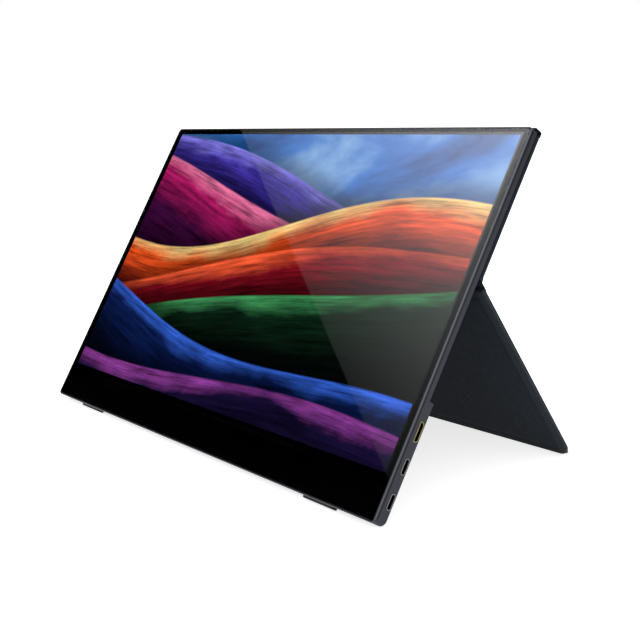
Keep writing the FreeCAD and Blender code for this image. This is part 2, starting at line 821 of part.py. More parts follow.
def build_hdmi_socket():
    """Make the mini HDMI shell and its tongue."""
    body = new_body("mini_hdmi_port")
    rear = frame_half - d.hdmi_deep
    shell = new_sketch(body, "shell", "YZ_Plane", rear)
    hdmi_outline(shell, as_size(0))
    pad(body, shell, d.hdmi_deep)
    mouth = new_sketch(body, "mouth", "YZ_Plane", frame_half + d.cut_overrun)
    hdmi_outline(mouth, -d.hdmi_shell)
    cut(body, mouth, d.hdmi_deep - d.port_floor + d.cut_overrun)
    tongue = new_sketch(body, "tongue", "YZ_Plane", rear + d.port_floor)
    level = d.port_first + d.port_pitch * 2
    half = d.hdmi_tongue_length / 2
    rise = d.hdmi_tongue_thick / 2
    rectangle(tongue, level - half, level + half, -hdmi_depth - rise, -hdmi_depth + rise)
    pad(body, tongue, d.hdmi_deep - d.port_floor - d.usb_tongue_setback)


# Keys and audio socket in the left wall
def build_power_button():
    """Make the power key: a slot-shaped cap with a flange behind the wall."""
    body = new_body("power_button")
    cap = new_sketch(body, "cap", "YZ_Plane", -(frame_half + d.key_proud))
    slot(cap, d.power_level, -d.key_depth, d.power_length, d.key_height)
    flange_start = inner_half - d.slip
    pad(body, cap, frame_half + d.key_proud - flange_start)
    flange = new_sketch(body, "flange", "YZ_Plane", -flange_start)
    margin = d.key_flange_margin
    slot(flange, d.power_level, -d.key_depth, d.power_length + 2 * margin,
         d.key_height + 2 * margin)
    pad(body, flange, d.key_flange)


def build_menu_rocker():
    """Make the two-way key with its lug, and the pin and bracket that carry it."""
    body = new_body("menu_rocker")
    bar_back = inner_half - d.rocker_gap - d.key_flange
    cap = new_sketch(body, "cap", "YZ_Plane", -(frame_half + d.key_proud))
    slot(cap, d.rocker_level, -d.key_depth, d.rocker_length, d.key_height)
    pad(body, cap, frame_half + d.key_proud - bar_back)
    lug_front = d.key_depth - d.rocker_lug_height / 2
    lug = new_sketch(body, "lug", offset=-lug_front)
    reach = bar_back + d.key_flange / 2
    rectangle(lug, -reach, -rocker_pivot, d.rocker_level - d.rocker_lug_radius,
              d.rocker_level + d.rocker_lug_radius)
    pad(body, lug, d.rocker_lug_height, back=True)
    eye = new_sketch(body, "eye", offset=-lug_front)
    disc(eye, -rocker_pivot, d.rocker_level, d.rocker_lug_radius)
    pad(body, eye, d.rocker_lug_height, back=True)
    bore = new_sketch(body, "bore", offset=-lug_front + d.cut_overrun)
    disc(bore, -rocker_pivot, d.rocker_level, d.rocker_pin_radius + d.screw_slip)
    cut(body, bore, d.rocker_lug_height + 2 * d.cut_overrun)
    cheek_rear = lug_front - 2 * d.slip
    cheek_front = cheek_rear - d.bracket_thick
    pin = new_body("rocker_pin")
    stem = new_sketch(pin, "stem", offset=-cheek_front)
    disc(stem, -rocker_pivot, d.rocker_level, d.rocker_pin_radius)
    pad(pin, stem, key_board_front + d.bracket_thick / 2 - cheek_front, back=True)
    build_rocker_bracket(cheek_front, cheek_rear)


def build_rocker_bracket(cheek_front, cheek_rear):
    """Make the bracket: a cheek over the rocker's lug and a post on the key board."""
    body = new_body("rocker_bracket")
    inner = rocker_pivot - d.rocker_lug_radius - 4 * d.slip
    half = d.bracket_width / 2
    slab(body, "cheek", -(rocker_pivot + d.rocker_lug_radius), -(inner - d.bracket_thick),
         d.rocker_level - half, d.rocker_level + half, cheek_front, cheek_rear - cheek_front)
    slab(body, "post", -inner, -(inner - d.bracket_thick), d.rocker_level - half,
         d.rocker_level + half, cheek_front, key_board_front - cheek_front)
    bore = new_sketch(body, "bore", offset=-cheek_front + d.cut_overrun)
    disc(bore, -rocker_pivot, d.rocker_level, d.rocker_pin_radius + d.screw_slip)
    cut(body, bore, cheek_rear - cheek_front + d.cut_overrun)


def build_key_board():
    """Make the key board and the three switches that the keys press."""
    body = new_body("key_board")
    outer = key_board_outer
    slab(body, "plan", -outer, -(outer - d.key_board_width), d.key_board_low, d.key_board_high,
         key_board_front, bay_inner - key_board_front)
    hole = new_sketch(body, "pin_hole", offset=-key_board_front)
    disc(hole, -rocker_pivot, d.rocker_level, d.rocker_pin_radius + d.screw_slip)
    cut(body, hole, d.bracket_thick / 2)
    switches = new_body("key_switches")
    power_back = inner_half - d.slip - d.key_flange
    rocker_back = inner_half - d.rocker_gap - d.key_flange
    arm = d.rocker_switch_arm
    places = [(d.power_level, power_back), (d.rocker_level - arm, rocker_back),
              (d.rocker_level + arm, rocker_back)]
    for index, (level, back) in enumerate(places):
        tip = back - d.power_travel - 2 * d.slip
        face = tip - d.switch_reach
        half = d.switch_length / 2
        slab(switches, f"case_{index}", -face, -(face - d.switch_deep), level - half,
             level + half, d.key_depth - d.key_height / 2, d.key_height)
        plunger = new_sketch(switches, f"plunger_{index}", "YZ_Plane", -tip)
        disc(plunger, level, -d.key_depth, d.switch_plunger)
        pad(switches, plunger, d.switch_reach)


def build_audio_jack():
    """Make the audio socket: a block with a round collar and a bore."""
    body = new_body("audio_jack")
    half = d.jack_width / 2
    front = d.key_depth - (bay_inner - d.key_depth)
    block = inner_half - d.slip
    slab(body, "block", -block, -(frame_half - d.jack_deep), d.jack_level - half,
         d.jack_level + half, front, bay_inner - front)
    collar = new_sketch(body, "collar", "YZ_Plane", -frame_half)
    disc(collar, d.jack_level, -d.key_depth, d.jack_collar)
    pad(body, collar, frame_half - block)
    bore = new_sketch(body, "bore", "YZ_Plane", -(frame_half + d.cut_overrun))
    disc(bore, d.jack_level, -d.key_depth, d.jack_bore)
    cut(body, bore, d.jack_bore_deep + d.cut_overrun, forward=True)


# Screws, magnets and feet
def build_housing_screws():
    """Make the screws that draw the bay cover onto the frame's bosses."""
    body = new_body("housing_screws")
    seat = d.bay_depth - d.counterbore_depth
    span = d.boss_pitch * (SCREW_COUNT - 1)
    plan = new_sketch(body, "head", offset=-seat)
    disc(plan, -span / 2, d.boss_edge, d.screw_head_radius)
    head = pad(body, plan, d.screw_head_thick, back=True)
    stem = new_sketch(body, "shank", offset=-seat)
    disc(stem, -span / 2, d.boss_edge, d.screw_radius)
    shank = pad(body, stem, seat - d.frame_depth - d.back_wall)
    recess = new_sketch(body, "recess", offset=-seat - d.screw_head_thick)
    hexagon(recess, -span / 2, d.boss_edge, d.screw_recess_radius)
    socket = cut(body, recess, d.screw_recess_deep, forward=True)
    repeat(body, [head, shank, socket], plan, "H_Axis", span, SCREW_COUNT)


def build_frame_magnets():
    """Make the two magnets behind the chin that hold the closed cover."""
    body = new_body("frame_magnets")
    sketch = new_sketch(body, "plan", offset=-d.frame_depth)
    half = d.magnet_length / 2
    rise = d.magnet_width / 2
    for side in (-1, 1):
        centre = frame_magnet_centre * side
        rectangle(sketch, centre - half, centre + half, d.frame_magnet_level - rise,
                  d.frame_magnet_level + rise)
    pad(body, sketch, d.magnet_thick, back=True)


def build_feet():
    """Make the two rubber strips under the bottom edge."""
    for label, side in (("foot_left", -1), ("foot_right", 1)):
        centre = foot_centre * side
        half = d.foot_length / 2
        body = new_body(label)
        slab(body, "plan", centre - half, centre + half, -d.foot_drop, as_size(0), d.foot_front,
             d.foot_rear - d.foot_front)
        dress(body, "Fillet", "Radius", d.edge_round,
              lambda edge: near(box_of(edge).YMax, -d.foot_drop))


# Folio cover
def build_back_sheet():
    """Make the sheet that stays on the back, with its lip on the top edge, and its adhesive."""
    glue_half = cover_half - d.sheet_glue_inset
    plate("sheet_adhesive", glue_half, sheet_low + d.sheet_glue_inset,
          frame_height - d.sheet_glue_inset, thin_depth, d.sheet_glue_thick,
          d.sheet_corner - d.sheet_glue_inset)
    body = new_body("cover_back_sheet")
    slab(body, "plan", -cover_half, cover_half, sheet_low, lip_high, sheet_front, d.sheet_thick)
    slab(body, "lip", -cover_half, cover_half, frame_height, lip_high, spine_depth,
         sheet_rear - spine_depth)
    dress(body, "Fillet", "Radius", d.sheet_corner, upright(high=d.crease_level))


def build_strip(label, frame, low, high):
    """Make a narrow strip of leather with round edges, between two fold lines."""
    body = new_body(label, frame)
    section = new_sketch(body, "section", "YZ_Plane", -cover_half)
    slot(section, (low + high) / 2, as_size(0), high - low, d.leather_thick)
    pad(body, section, 2 * cover_half)


def build_cover_panel(name, frame, low, high, face, free_corner, free_test):
    """Make one stiff panel: a leather skin over a board, a lining and magnets.

    The skin is a shallow tray that takes the board, the lining closes it, and
    the magnets lie in pockets of the board. The depth of the leather face is
    given, and the layers follow behind it.
    """
    core_face = face + d.leather_thick
    lining_face = core_face + d.board_core_thick
    skin = new_body(f"{name}_skin", frame)
    slab(skin, "plan", -cover_half, cover_half, low, high, face, lining_face - face)
    dress(skin, "Fillet", "Radius", free_corner, free_test)
    dress(skin, "Fillet", "Radius", d.edge_round, at_depth(face))
    core_half = cover_half - d.core_inset
    hollow(skin, "pan", -core_half, core_half, low + d.core_inset, high - d.core_inset,
           core_face, d.board_core_thick + d.cut_overrun)
    core = new_body(f"{name}_board", frame)
    slab(core, "plan", -(core_half - d.slip), core_half - d.slip, low + d.core_inset + d.slip,
         high - d.core_inset - d.slip, core_face, d.board_core_thick)
    lining = new_body(f"{name}_lining", frame)
    slab(lining, "plan", -cover_half, cover_half, low, high, lining_face, d.leather_thick)
    dress(lining, "Fillet", "Radius", free_corner, free_test)
    magnets = new_body(f"{name}_magnets", frame)
    pocket_front = lining_face - d.magnet_thick
    level = low + d.core_inset + d.magnet_edge
    span = d.magnet_pitch * (LID_MAGNETS - 1)
    seats = new_sketch(core, "seats", offset=-pocket_front)
    bars = new_sketch(magnets, "bars", offset=-pocket_front)
    half = d.magnet_length / 2
    rise = d.magnet_width / 2
    for index in range(LID_MAGNETS):
        centre = d.magnet_pitch * index - span / 2
        rectangle(bars, centre - half, centre + half, level - rise, level + rise)
        rectangle(seats, centre - half - d.slip, centre + half + d.slip, level - rise - d.slip,
                  level + rise + d.slip)
    cut(core, seats, d.magnet_thick + d.cut_overrun)
    pad(magnets, bars, d.magnet_thick, back=True)


def build_cover():
    """Make the folio: back sheet, spine strip, upper panel, crease web and flap."""
    build_back_sheet()
    build_strip("spine_strip", "spine", d.spine_start, spine_width - d.fold_gap)
    build_cover_panel("top_panel", "panel", lid_low, lid_high, lid_front, d.lid_corner,
                      upright(low=d.crease_level + d.crease_web))
    build_strip("crease_web", "flap", -d.crease_web, -d.fold_gap)
    build_cover_panel("flap", "flap", -d.flap_reach, -flap_top, -flap_face, d.flap_corner,
                      upright(high=-flap_top - d.flap_corner))


def build_all():
    """Build every piece in the panel's and the folds' frames."""
    build_front_frame()
    build_display()
    build_rear_housing()
    build_bay_cover()
    build_main_board()
    build_driver()
    build_speakers()
    build_usb_socket("usb_c_port_lower", d.port_first)
    build_usb_socket("usb_c_port_upper", d.port_first + d.port_pitch)
    build_hdmi_socket()
    build_power_button()
    build_menu_rocker()
    build_key_board()
    build_audio_jack()
    build_housing_screws()
    build_frame_magnets()
    build_feet()
    build_cover()
    doc.recompute()


def stand_up():
    """Set the assembly on the table, centred, and give the shift that does it."""
    boxes = [body.Shape.optimalBoundingBox(True, False) for body, _ in NODES]
    middle = (min(box.YMin for box in boxes) + max(box.YMax for box in boxes)) / 2
    across = (min(box.XMin for box in boxes) + max(box.XMax for box in boxes)) / 2
    shift = Vector(-across, -middle, -min(box.ZMin for box in boxes))
    for body, frame in NODES:
        body.Placement = frame_placement(frame, shift)
    doc.recompute()
    return shift


def check_and_write():
    """See that every object is sound, then write one file for each piece."""
    for item in doc.Objects:
        if "Invalid" in item.State or "Error" in item.State:
            raise ValueError(f"{item.Label} failed: {item.State}")
    for body, _ in NODES:
        if body.Shape.isNull() or not body.Shape.isValid():
            raise ValueError(f"{body.Label} has no sound shape")
    os.makedirs("parts", exist_ok=True)
    for body, _ in NODES:
        body.Shape.exportStep(f"parts/{body.Label}.step")


build_all()
SHIFT = stand_up()
check_and_write()
print(f"{len(NODES)} pieces, panel at {LEAN:.3f} degrees to the table")
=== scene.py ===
"""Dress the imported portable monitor: its folio cover, its screen, its finishes and a studio.

Places are given in the panel's own frame, in millimetres: x to the right, y up the
screen from the lower edge of the frame, z out of the glass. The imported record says
where that frame and the cover's folds lie in the row.
"""
import json
import logging
import math
from dataclasses import dataclass, replace
from enum import Enum
from typing import Any, Optional, Sequence

import bpy
import numpy as np
from bpy.types import Material, Node, NodeSocket, NodeTree, Object
from mathutils import Matrix, Vector


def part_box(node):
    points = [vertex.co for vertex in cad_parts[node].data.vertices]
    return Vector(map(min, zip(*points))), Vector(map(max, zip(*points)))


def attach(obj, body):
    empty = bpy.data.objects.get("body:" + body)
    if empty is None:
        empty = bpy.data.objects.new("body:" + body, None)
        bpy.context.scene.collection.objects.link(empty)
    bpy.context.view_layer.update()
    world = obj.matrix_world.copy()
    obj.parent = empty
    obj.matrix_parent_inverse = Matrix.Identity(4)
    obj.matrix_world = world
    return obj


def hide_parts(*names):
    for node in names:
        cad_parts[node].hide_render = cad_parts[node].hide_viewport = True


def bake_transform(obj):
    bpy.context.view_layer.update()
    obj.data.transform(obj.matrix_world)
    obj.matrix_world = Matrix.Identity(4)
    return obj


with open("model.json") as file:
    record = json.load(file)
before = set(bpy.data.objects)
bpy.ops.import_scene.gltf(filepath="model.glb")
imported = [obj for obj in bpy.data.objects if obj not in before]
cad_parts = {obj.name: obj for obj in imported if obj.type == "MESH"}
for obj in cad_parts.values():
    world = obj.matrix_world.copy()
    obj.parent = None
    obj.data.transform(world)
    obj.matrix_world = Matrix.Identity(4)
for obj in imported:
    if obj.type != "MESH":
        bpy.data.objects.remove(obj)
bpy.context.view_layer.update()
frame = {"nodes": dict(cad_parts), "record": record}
LOG = logging.getLogger("portable_monitor")
MM = 0.001
Array = np.ndarray
JOINTS = {joint["name"]: joint for joint in frame["record"]["behaviour"]["joints"]}
MOUNTS = {mount["name"]: mount for mount in frame["record"]["mounts"]}
ACROSS = (1.0, 0.0, 0.0)
FRAME_HEIGHT = 224.3
# Where the mount on the bay's rear face lies, up the screen and behind the glass.
BAY_LEVEL, BAY_DEPTH = 40.0, 9.4
# Edges that turn more than this many degrees stay sharp.
SHARP_ANGLE = 40.0
# The least radius of an outline's corner, which keeps its points apart.
LEAST_RADIUS = 0.02
# A half width that nothing reaches, for a box without a limit along one axis.
NO_LIMIT = 400.0


def linear(code: str) -> tuple[float, float, float, float]:
    """Turn an sRGB hex colour into a linear one.

    Args:
        code: six hex digits with a leading hash.

    Returns:
        Red, green, blue and an alpha of one.
    """
    parts = np.array([int(code[i:i + 2], 16) for i in (1, 3, 5)]) / 255
    low = parts / 12.92
    high = ((parts + 0.055) / 1.055) ** 2.4
    red, green, blue = np.where(parts <= 0.04045, low, high)
    return float(red), float(green), float(blue), 1.0


def add(tree: NodeTree, kind: str, values: Optional[dict[Any, Any]] = None,
        links: Optional[dict[Any, Any]] = None, **settings: Any) -> Node:
    """Add a node with its settings, its socket values and its links.

    Args:
        tree: the material's or world's node tree.
        kind: the node's type name.
        values: socket values by socket name or number.
        links: outputs of other nodes by socket name or number.
        settings: plain attributes of the node.

    Returns:
        The new node.
    """
    node = tree.nodes.new(kind)
    for key, value in settings.items():
        setattr(node, key, value)
    for key, value in (values or {}).items():
        node.inputs[key].default_value = value
    for key, source in (links or {}).items():
        tree.links.new(source, node.inputs[key])
    return node


def sums(tree: NodeTree, operation: str, *terms: Any) -> NodeSocket:
    """Work out a value from numbers and sockets.

    Args:
        tree: the node tree.
        operation: what the Math node does.
        terms: numbers or sockets, in the operation's order.

    Returns:
        The result's socket.
    """
    links = {place: term for place, term in enumerate(terms) if isinstance(term, NodeSocket)}
    values = {place: term for place, term in enumerate(terms) if place not in links}
    return add(tree, "ShaderNodeMath", values, links, operation=operation).outputs[0]


def remap(tree: NodeTree, value: NodeSocket, source: Sequence[float],
          target: Sequence[float] = (0.0, 1.0), **settings: Any) -> NodeSocket:
    """Carry a value from one range to another, and hold it at both ends.

    Args:
        tree: the node tree.
        value: the value's socket.
        source: the range that it comes from.
        target: the range that it goes to.
        settings: plain attributes of the node.

    Returns:
        The result's socket.
    """
    limits = dict(enumerate((*source, *target), start=1))
    return add(tree, "ShaderNodeMapRange", limits, {0: value}, **settings).outputs[0]


def ramp(tree: NodeTree, value: NodeSocket, stops: Sequence[tuple[float, str]]) -> NodeSocket:
    """Turn a value into a colour.

    Args:
        tree: the node tree.
        value: the value's socket.
        stops: values from zero to one with their hex colours, in order.

    Returns:
        The colour's socket.
    """
    node = add(tree, "ShaderNodeValToRGB", links={0: value})
    elements = node.color_ramp.elements
    while len(elements) < len(stops):
        elements.new(1.0)
    for element, (place, code) in zip(elements, stops):
        element.position = place
        element.color = linear(code)
    return node.outputs[0]


def new_material(name: str) -> tuple[Material, NodeTree, Node]:
    """Start an empty material.

    Args:
        name: the material's name.

    Returns:
        The material, its node tree and its output node.
    """
    material = bpy.data.materials.new(name)
    material.use_nodes = True
    material.node_tree.nodes.clear()
    output = add(material.node_tree, "ShaderNodeOutputMaterial")
    return material, material.node_tree, output


class Texture(Enum):
    """How a finish's surface was made."""

    BLASTED = "blasted"
    GRAINED = "grained"
    FIBROUS = "fibrous"
    ROLLED = "rolled"


@dataclass(frozen=True)
class Finish:
    """A solid finish: two close colours, a texture at a real size, gloss and relief.

    The texture mixes the two colours, spreads the roughness and gives the relief.
    """

    name: str
    base: str
    second: str
    texture: Texture
    grain_mm: float
    relief_mm: float
    roughness: float
    spread: float = 0.06
    metallic: float = 0.0
    specular: float = 0.5
    # Painted shade: the named socket's colour gets darker inwards from its mouth, where little
    # light gets in.
    mouth: Optional[str] = None
    painted_shade_reach: tuple[float, float] = (1.1, 0.2)
    painted_inner_light: float = 0.25
    # The edge band's colour: real edge paint on the back sheet, a painted highlight on the frame's
    # cut and on the flap's side hems.
    cut: Optional[str] = None
    edge_paint_and_highlight_box: tuple[float, float, float] = (178.12, 111.77, 0.42)
    drawn_out: tuple[float, float, float] = (0.05, 1.0, 1.0)
    valley: float = 0.35
    cloud_share: float = 0.3

    def toned(self, tree: NodeTree, colour: NodeSocket) -> NodeSocket:
        """Change the colour where the piece needs it.

        Painted shade: a socket gets dark inwards from its mouth, where little light gets in. Down
        to a depth and outside a rectangle about the frame's middle, an edge band gets a colour of
        its own: real edge paint on the back sheet, a painted highlight on the flap's side hems, and
        on the frame's polished cut a lighter colour that is partly the bare metal and partly a
        painted highlight.

        Args:
            tree: the material's node tree.
            colour: the plain colour.

        Returns:
            The colour with its changes.
        """
        # Painted shade inside a socket, darker inwards from its mouth.
        if self.mouth is not None:
            colour = add(tree, "ShaderNodeVectorMath", links={0: colour, 3: self.painted_shade_factor(tree)},
                         operation="SCALE").outputs[0]
        # The edge band: real edge paint on the back sheet, a painted highlight on the frame's cut
        # and on the flap's hems.
        if self.cut is not None:
            colour = add(tree, "ShaderNodeMix", {7: linear(self.cut)},
                         {0: self.edge_paint_and_highlight_mask(tree), 6: colour}, data_type="RGBA").outputs[2]
        return colour

    def painted_shade_factor(self, tree: NodeTree) -> NodeSocket:
        """Give the painted shade's share of light in a socket: one at its mouth and less inside.

        Args:
            tree: the material's node tree.

        Returns:
            The share's socket.
        """
        place = add(tree, "ShaderNodeTexCoord").outputs["Object"]
        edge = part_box(self.mouth)[1][0]
        reach = [edge - depth * MM for depth in self.painted_shade_reach]
        parts = add(tree, "ShaderNodeSeparateXYZ", links={0: place})
        return remap(tree, parts.outputs[0], reach, (self.painted_inner_light, 1.0))

    def edge_paint_and_highlight_mask(self, tree: NodeTree) -> NodeSocket:
        """Give one on the edge band, which gets edge paint on the back sheet and a painted
        highlight on the frame and the flap, and zero elsewhere.

        Args:
            tree: the material's node tree.

        Returns:
            The mask's socket.
        """
        local = panel_place(tree, (0.0, FRAME_HEIGHT / 2, 0.0))
        size = add(tree, "ShaderNodeVectorMath", links={0: local}, operation="ABSOLUTE")
        past = add(tree, "ShaderNodeVectorMath", {1: self.edge_paint_and_highlight_box}, {0: size.outputs[0]},
                   operation="SUBTRACT")
        parts = add(tree, "ShaderNodeSeparateXYZ", links={0: past.outputs[0]}).outputs
        edge = sums(tree, "GREATER_THAN", sums(tree, "MAXIMUM", parts[0], parts[1]), 0.0)
        return sums(tree, "MULTIPLY", sums(tree, "LESS_THAN", parts[2], 0.0), edge)

    def pattern(self, tree: NodeTree) -> NodeSocket:
        """Add the texture, with cells or grit of the real size in object space.

        Args:
            tree: the material's node tree.

        Returns:
            A value from zero to one over the surface.
        """
        place = add(tree, "ShaderNodeTexCoord").outputs["Object"]
        scale = 1.0 / (self.grain_mm * MM)
        if self.texture is Texture.ROLLED:
            place = add(tree, "ShaderNodeMapping", {"Scale": self.drawn_out},
                        {"Vector": place}).outputs["Vector"]
        if self.texture is Texture.GRAINED:
            cells = add(tree, "ShaderNodeTexVoronoi", {"Scale": scale}, {"Vector": place},
                        feature="DISTANCE_TO_EDGE")
            soft = remap(tree, cells.outputs[0], (0.0, self.valley))
            cloud = add(tree, "ShaderNodeTexNoise",
                        {"Scale": scale * self.cloud_share, "Detail": 3.0}, {"Vector": place})
            return sums(tree, "MULTIPLY", soft, cloud.outputs[0])
        detail = 6.0 if self.texture is Texture.FIBROUS else 2.0
        noise = add(tree, "ShaderNodeTexNoise",
                    {"Scale": scale, "Detail": detail, "Roughness": 0.65}, {"Vector": place})
        return noise.outputs[0]

    def material(self) -> Material:
        """Build the finish as a node material."""
        material, tree, output = new_material(self.name)
        value = self.pattern(tree)
        colour = ramp(tree, value, [(0.25, self.base), (0.75, self.second)])
        gloss = remap(tree, value, (0.0, 1.0),
                      (self.roughness + self.spread, self.roughness - self.spread))
        bump = add(tree, "ShaderNodeBump", {"Strength": 1.0, "Distance": self.relief_mm * MM},
                   {"Height": value})
        shader = add(tree, "ShaderNodeBsdfPrincipled",
                     {"Metallic": self.metallic, "Specular IOR Level": self.specular},
                     {"Base Color": self.toned(tree, colour),
                      "Roughness": gloss, "Normal": bump.outputs[0]})
        tree.links.new(shader.outputs[0], output.inputs[0])
        return material


@dataclass(frozen=True)
class GlassFinish:
    """Clear float glass: sharp reflections, and the layers behind it show through."""

    name: str = "float_glass_polished"
    tint: str = "#f4f7f8"
    ior: float = 1.5
    smear_mm: float = 40.0
    haze: float = 0.006

    def material(self) -> Material:
        """Build the glass with faint smears that move its roughness."""
        material, tree, output = new_material(self.name)
        place = add(tree, "ShaderNodeTexCoord").outputs["Object"]
        scale = 1.0 / (self.smear_mm * MM)
        smear = add(tree, "ShaderNodeTexNoise", {"Scale": scale, "Detail": 3.0},
                    {"Vector": place})
        gloss = remap(tree, smear.outputs[0], (0.0, 1.0), (0.0, self.haze))
        shader = add(tree, "ShaderNodeBsdfPrincipled",
                     {"Base Color": linear(self.tint), "IOR": self.ior,
                      "Transmission Weight": 1.0}, {"Roughness": gloss})
        tree.links.new(shader.outputs[0], output.inputs[0])
        return material


@dataclass(frozen=True)
class PanelFrame:
    """The panel's axes in the row: its origin, up the screen and out of the glass."""

    origin: Array
    up: Array
    out: Array

    @property
    def lean(self) -> float:
        """Give the panel's angle to the table in radians."""
        return math.atan2(self.up[2], self.up[1])

    def row(self, points: Any) -> Array:
        """Take points from the panel's frame in millimetres to the row in metres.

        Args:
            points: an array whose last axis holds x, y and z.

        Returns:
            An array of the same shape.
        """
        points = np.asarray(points, float) * MM
        return (self.origin + points[..., :1] * np.array(ACROSS) + points[..., 1:2] * self.up
                + points[..., 2:3] * self.out)


def panel_frame() -> PanelFrame:
    """Find the panel from the key's hinge axis and the bay's rear face."""
    out = np.array(JOINTS["menu_rock"]["axis"], float)
    up = np.cross(out, ACROSS)
    bay = np.array(MOUNTS["bay_back"]["pos_m"], float)
    return PanelFrame(bay - up * BAY_LEVEL * MM + out * BAY_DEPTH * MM, up, out)


PANEL = panel_frame()


def flap_frame() -> PanelFrame:
    """Give the flap's frame: its origin on the crease, y back up to it, z to the leather side."""
    crease = np.array(JOINTS["crease_fold"]["pos_m"], float)
    up = crease - np.array(JOINTS["stand_tilt"]["pos_m"], float)
    up = up / np.linalg.norm(up)
    crease[0] = PANEL.origin[0]
    return PanelFrame(crease, up, np.cross(ACROSS, up))


FLAP = flap_frame()


def panel_place(tree: NodeTree, origin: Sequence[float],
                units: Sequence[float] = (1.0, 1.0, 1.0)) -> NodeSocket:
    """Give a shader's place in the panel's frame.

    Args:
        tree: the material's node tree.
        origin: where zero lies, in the panel's frame.
        units: how many millimetres count as one along x, y and z.

    Returns:
        The place's socket.
    """
    place = add(tree, "ShaderNodeTexCoord").outputs["Object"]
    return add(tree, "ShaderNodeMapping",
               {"Location": PANEL.row(origin), "Rotation": (PANEL.lean, 0.0, 0.0),
                "Scale": [unit * MM for unit in units]},
               {"Vector": place}, vector_type="TEXTURE").outputs["Vector"]


def make_object(name: str, points: Array, faces: list[Any], finish: Material) -> Object:
    """Put points and faces into a mesh object at the origin.

    Args:
        name: the piece's name.
        points: an array of points in the row, in metres.
        faces: lists of point numbers.
        finish: the piece's material.

    Returns:
        The new object.
    """
    mesh = bpy.data.meshes.new(name)
    mesh.from_pydata(points.reshape(-1, 3).tolist(), [], faces)
    mesh.polygons.foreach_set("use_smooth", np.ones(len(mesh.polygons), bool))
    mesh.set_sharp_from_angle(angle=math.radians(SHARP_ANGLE))
    mesh.materials.append(finish)
    mesh.validate()
    item = bpy.data.objects.new(name, mesh)
    bpy.context.scene.collection.objects.link(item)
    return item


def ring_faces(rings: int, count: int) -> list[Any]:
    """List the faces between closed rings, and the two flat caps.

    Face (i, j) joins points j and j + 1 of ring i + 1 to the same two of ring i,
    and the last point of a ring joins its first.

    Args:
        rings: how many rings follow each other.
        count: how many points each ring has.

    Returns:
        The faces as lists of point numbers.
    """
    step = np.arange(count)
    following = (step + 1) % count
    base = (np.arange(rings - 1) * count)[:, None]
    quads = np.stack([base + count + step, base + count + following, base + following,
                      base + step], axis=-1)
    last = step + (rings - 1) * count
    return [*quads.reshape(-1, 4).tolist(), step.tolist(), last[::-1].tolist()]


def round_outline(left: float, right: float, low: float, high: float, radii: Sequence[float],
                  inset: Array, corner_points: int = 10) -> Array:
    """Give nested outlines of a rectangle with round corners.

    Each corner is a quarter circle of its radius less the inset, about a centre that
    lies the radius in from both sides, so that inset outlines stay parallel.

    Args:
        left, right, low, high: the rectangle's sides.
        radii: the radii at lower right, upper right, upper left and lower left.
        inset: how far in each outline lies.
        corner_points: how many points a corner has.

    Returns:
        An array of outlines by points by x and y.
    """
    angle = np.linspace(0, math.pi / 2, corner_points)
    starts = (-math.pi / 2, 0.0, math.pi / 2, math.pi)
    sides = ((right, low, -1, 1), (right, high, -1, -1), (left, high, 1, -1), (left, low, 1, 1))
    pieces = []
    for (x, y, in_x, in_y), radius, start in zip(sides, radii, starts):
        reach = np.maximum(radius, inset)[:, None]
        bend = np.maximum(radius - inset, 0.0)[:, None] + LEAST_RADIUS
        pieces.append(np.stack([x + in_x * reach + bend * np.cos(start + angle),
                                y + in_y * reach + bend * np.sin(start + angle)], axis=-1))
    return np.concatenate(pieces, axis=1)


def round_plate(name: str, place: PanelFrame, sides: Sequence[float], radii: Sequence[float],
                section: Sequence[tuple[float, float]], finish: Material) -> Object:
    """Make a flat piece whose edge follows a section.

    The section is a list of insets and heights. Each entry is an outline of the
    rectangle, moved in by the inset and set at the height, and rings of faces join
    them from the upper cap, over the edge, to the lower cap.

    Args:
        name: the piece's name.
        place: the frame that it is drawn in.
        sides: left, right, low and high.
        radii: the four corner radii.
        section: insets and heights in millimetres, from the upper face to the lower one.
        finish: the piece's material.

    Returns:
        The new object.
    """
    insets, heights = np.array(section, float).T
    flat = round_outline(*sides, radii, insets)
    lift = np.broadcast_to(heights[:, None, None], (*flat.shape[:2], 1))
    points = place.row(np.concatenate([flat, lift], axis=-1))
    return make_object(name, points, ring_faces(*flat.shape[:2]), finish)


def rounded_line(corners: Array, cut: float, steps: int = 9) -> Array:
    """Round the inner corners of a line.

    Each inner corner becomes a quadratic curve that starts and ends the cut away from
    it on its two sides, with the corner as the curve's control point.

    Args:
        corners: points by y and z, in millimetres.
        cut: how far from a corner the curve starts.
        steps: how many points a curve has.

    Returns:
        The line's points by y and z.
    """
    t = np.linspace(0, 1, steps)[:, None]
    back = corners[:-2] - corners[1:-1]
    ahead = corners[2:] - corners[1:-1]
    start = corners[1:-1] + cut * back / np.linalg.norm(back, axis=1, keepdims=True)
    end = corners[1:-1] + cut * ahead / np.linalg.norm(ahead, axis=1, keepdims=True)
    curves = [(1 - t) ** 2 * a + 2 * t * (1 - t) * b + t ** 2 * c
              for a, b, c in zip(start, corners[1:-1], end)]
    return np.concatenate([corners[:1], *curves, corners[-1:]])


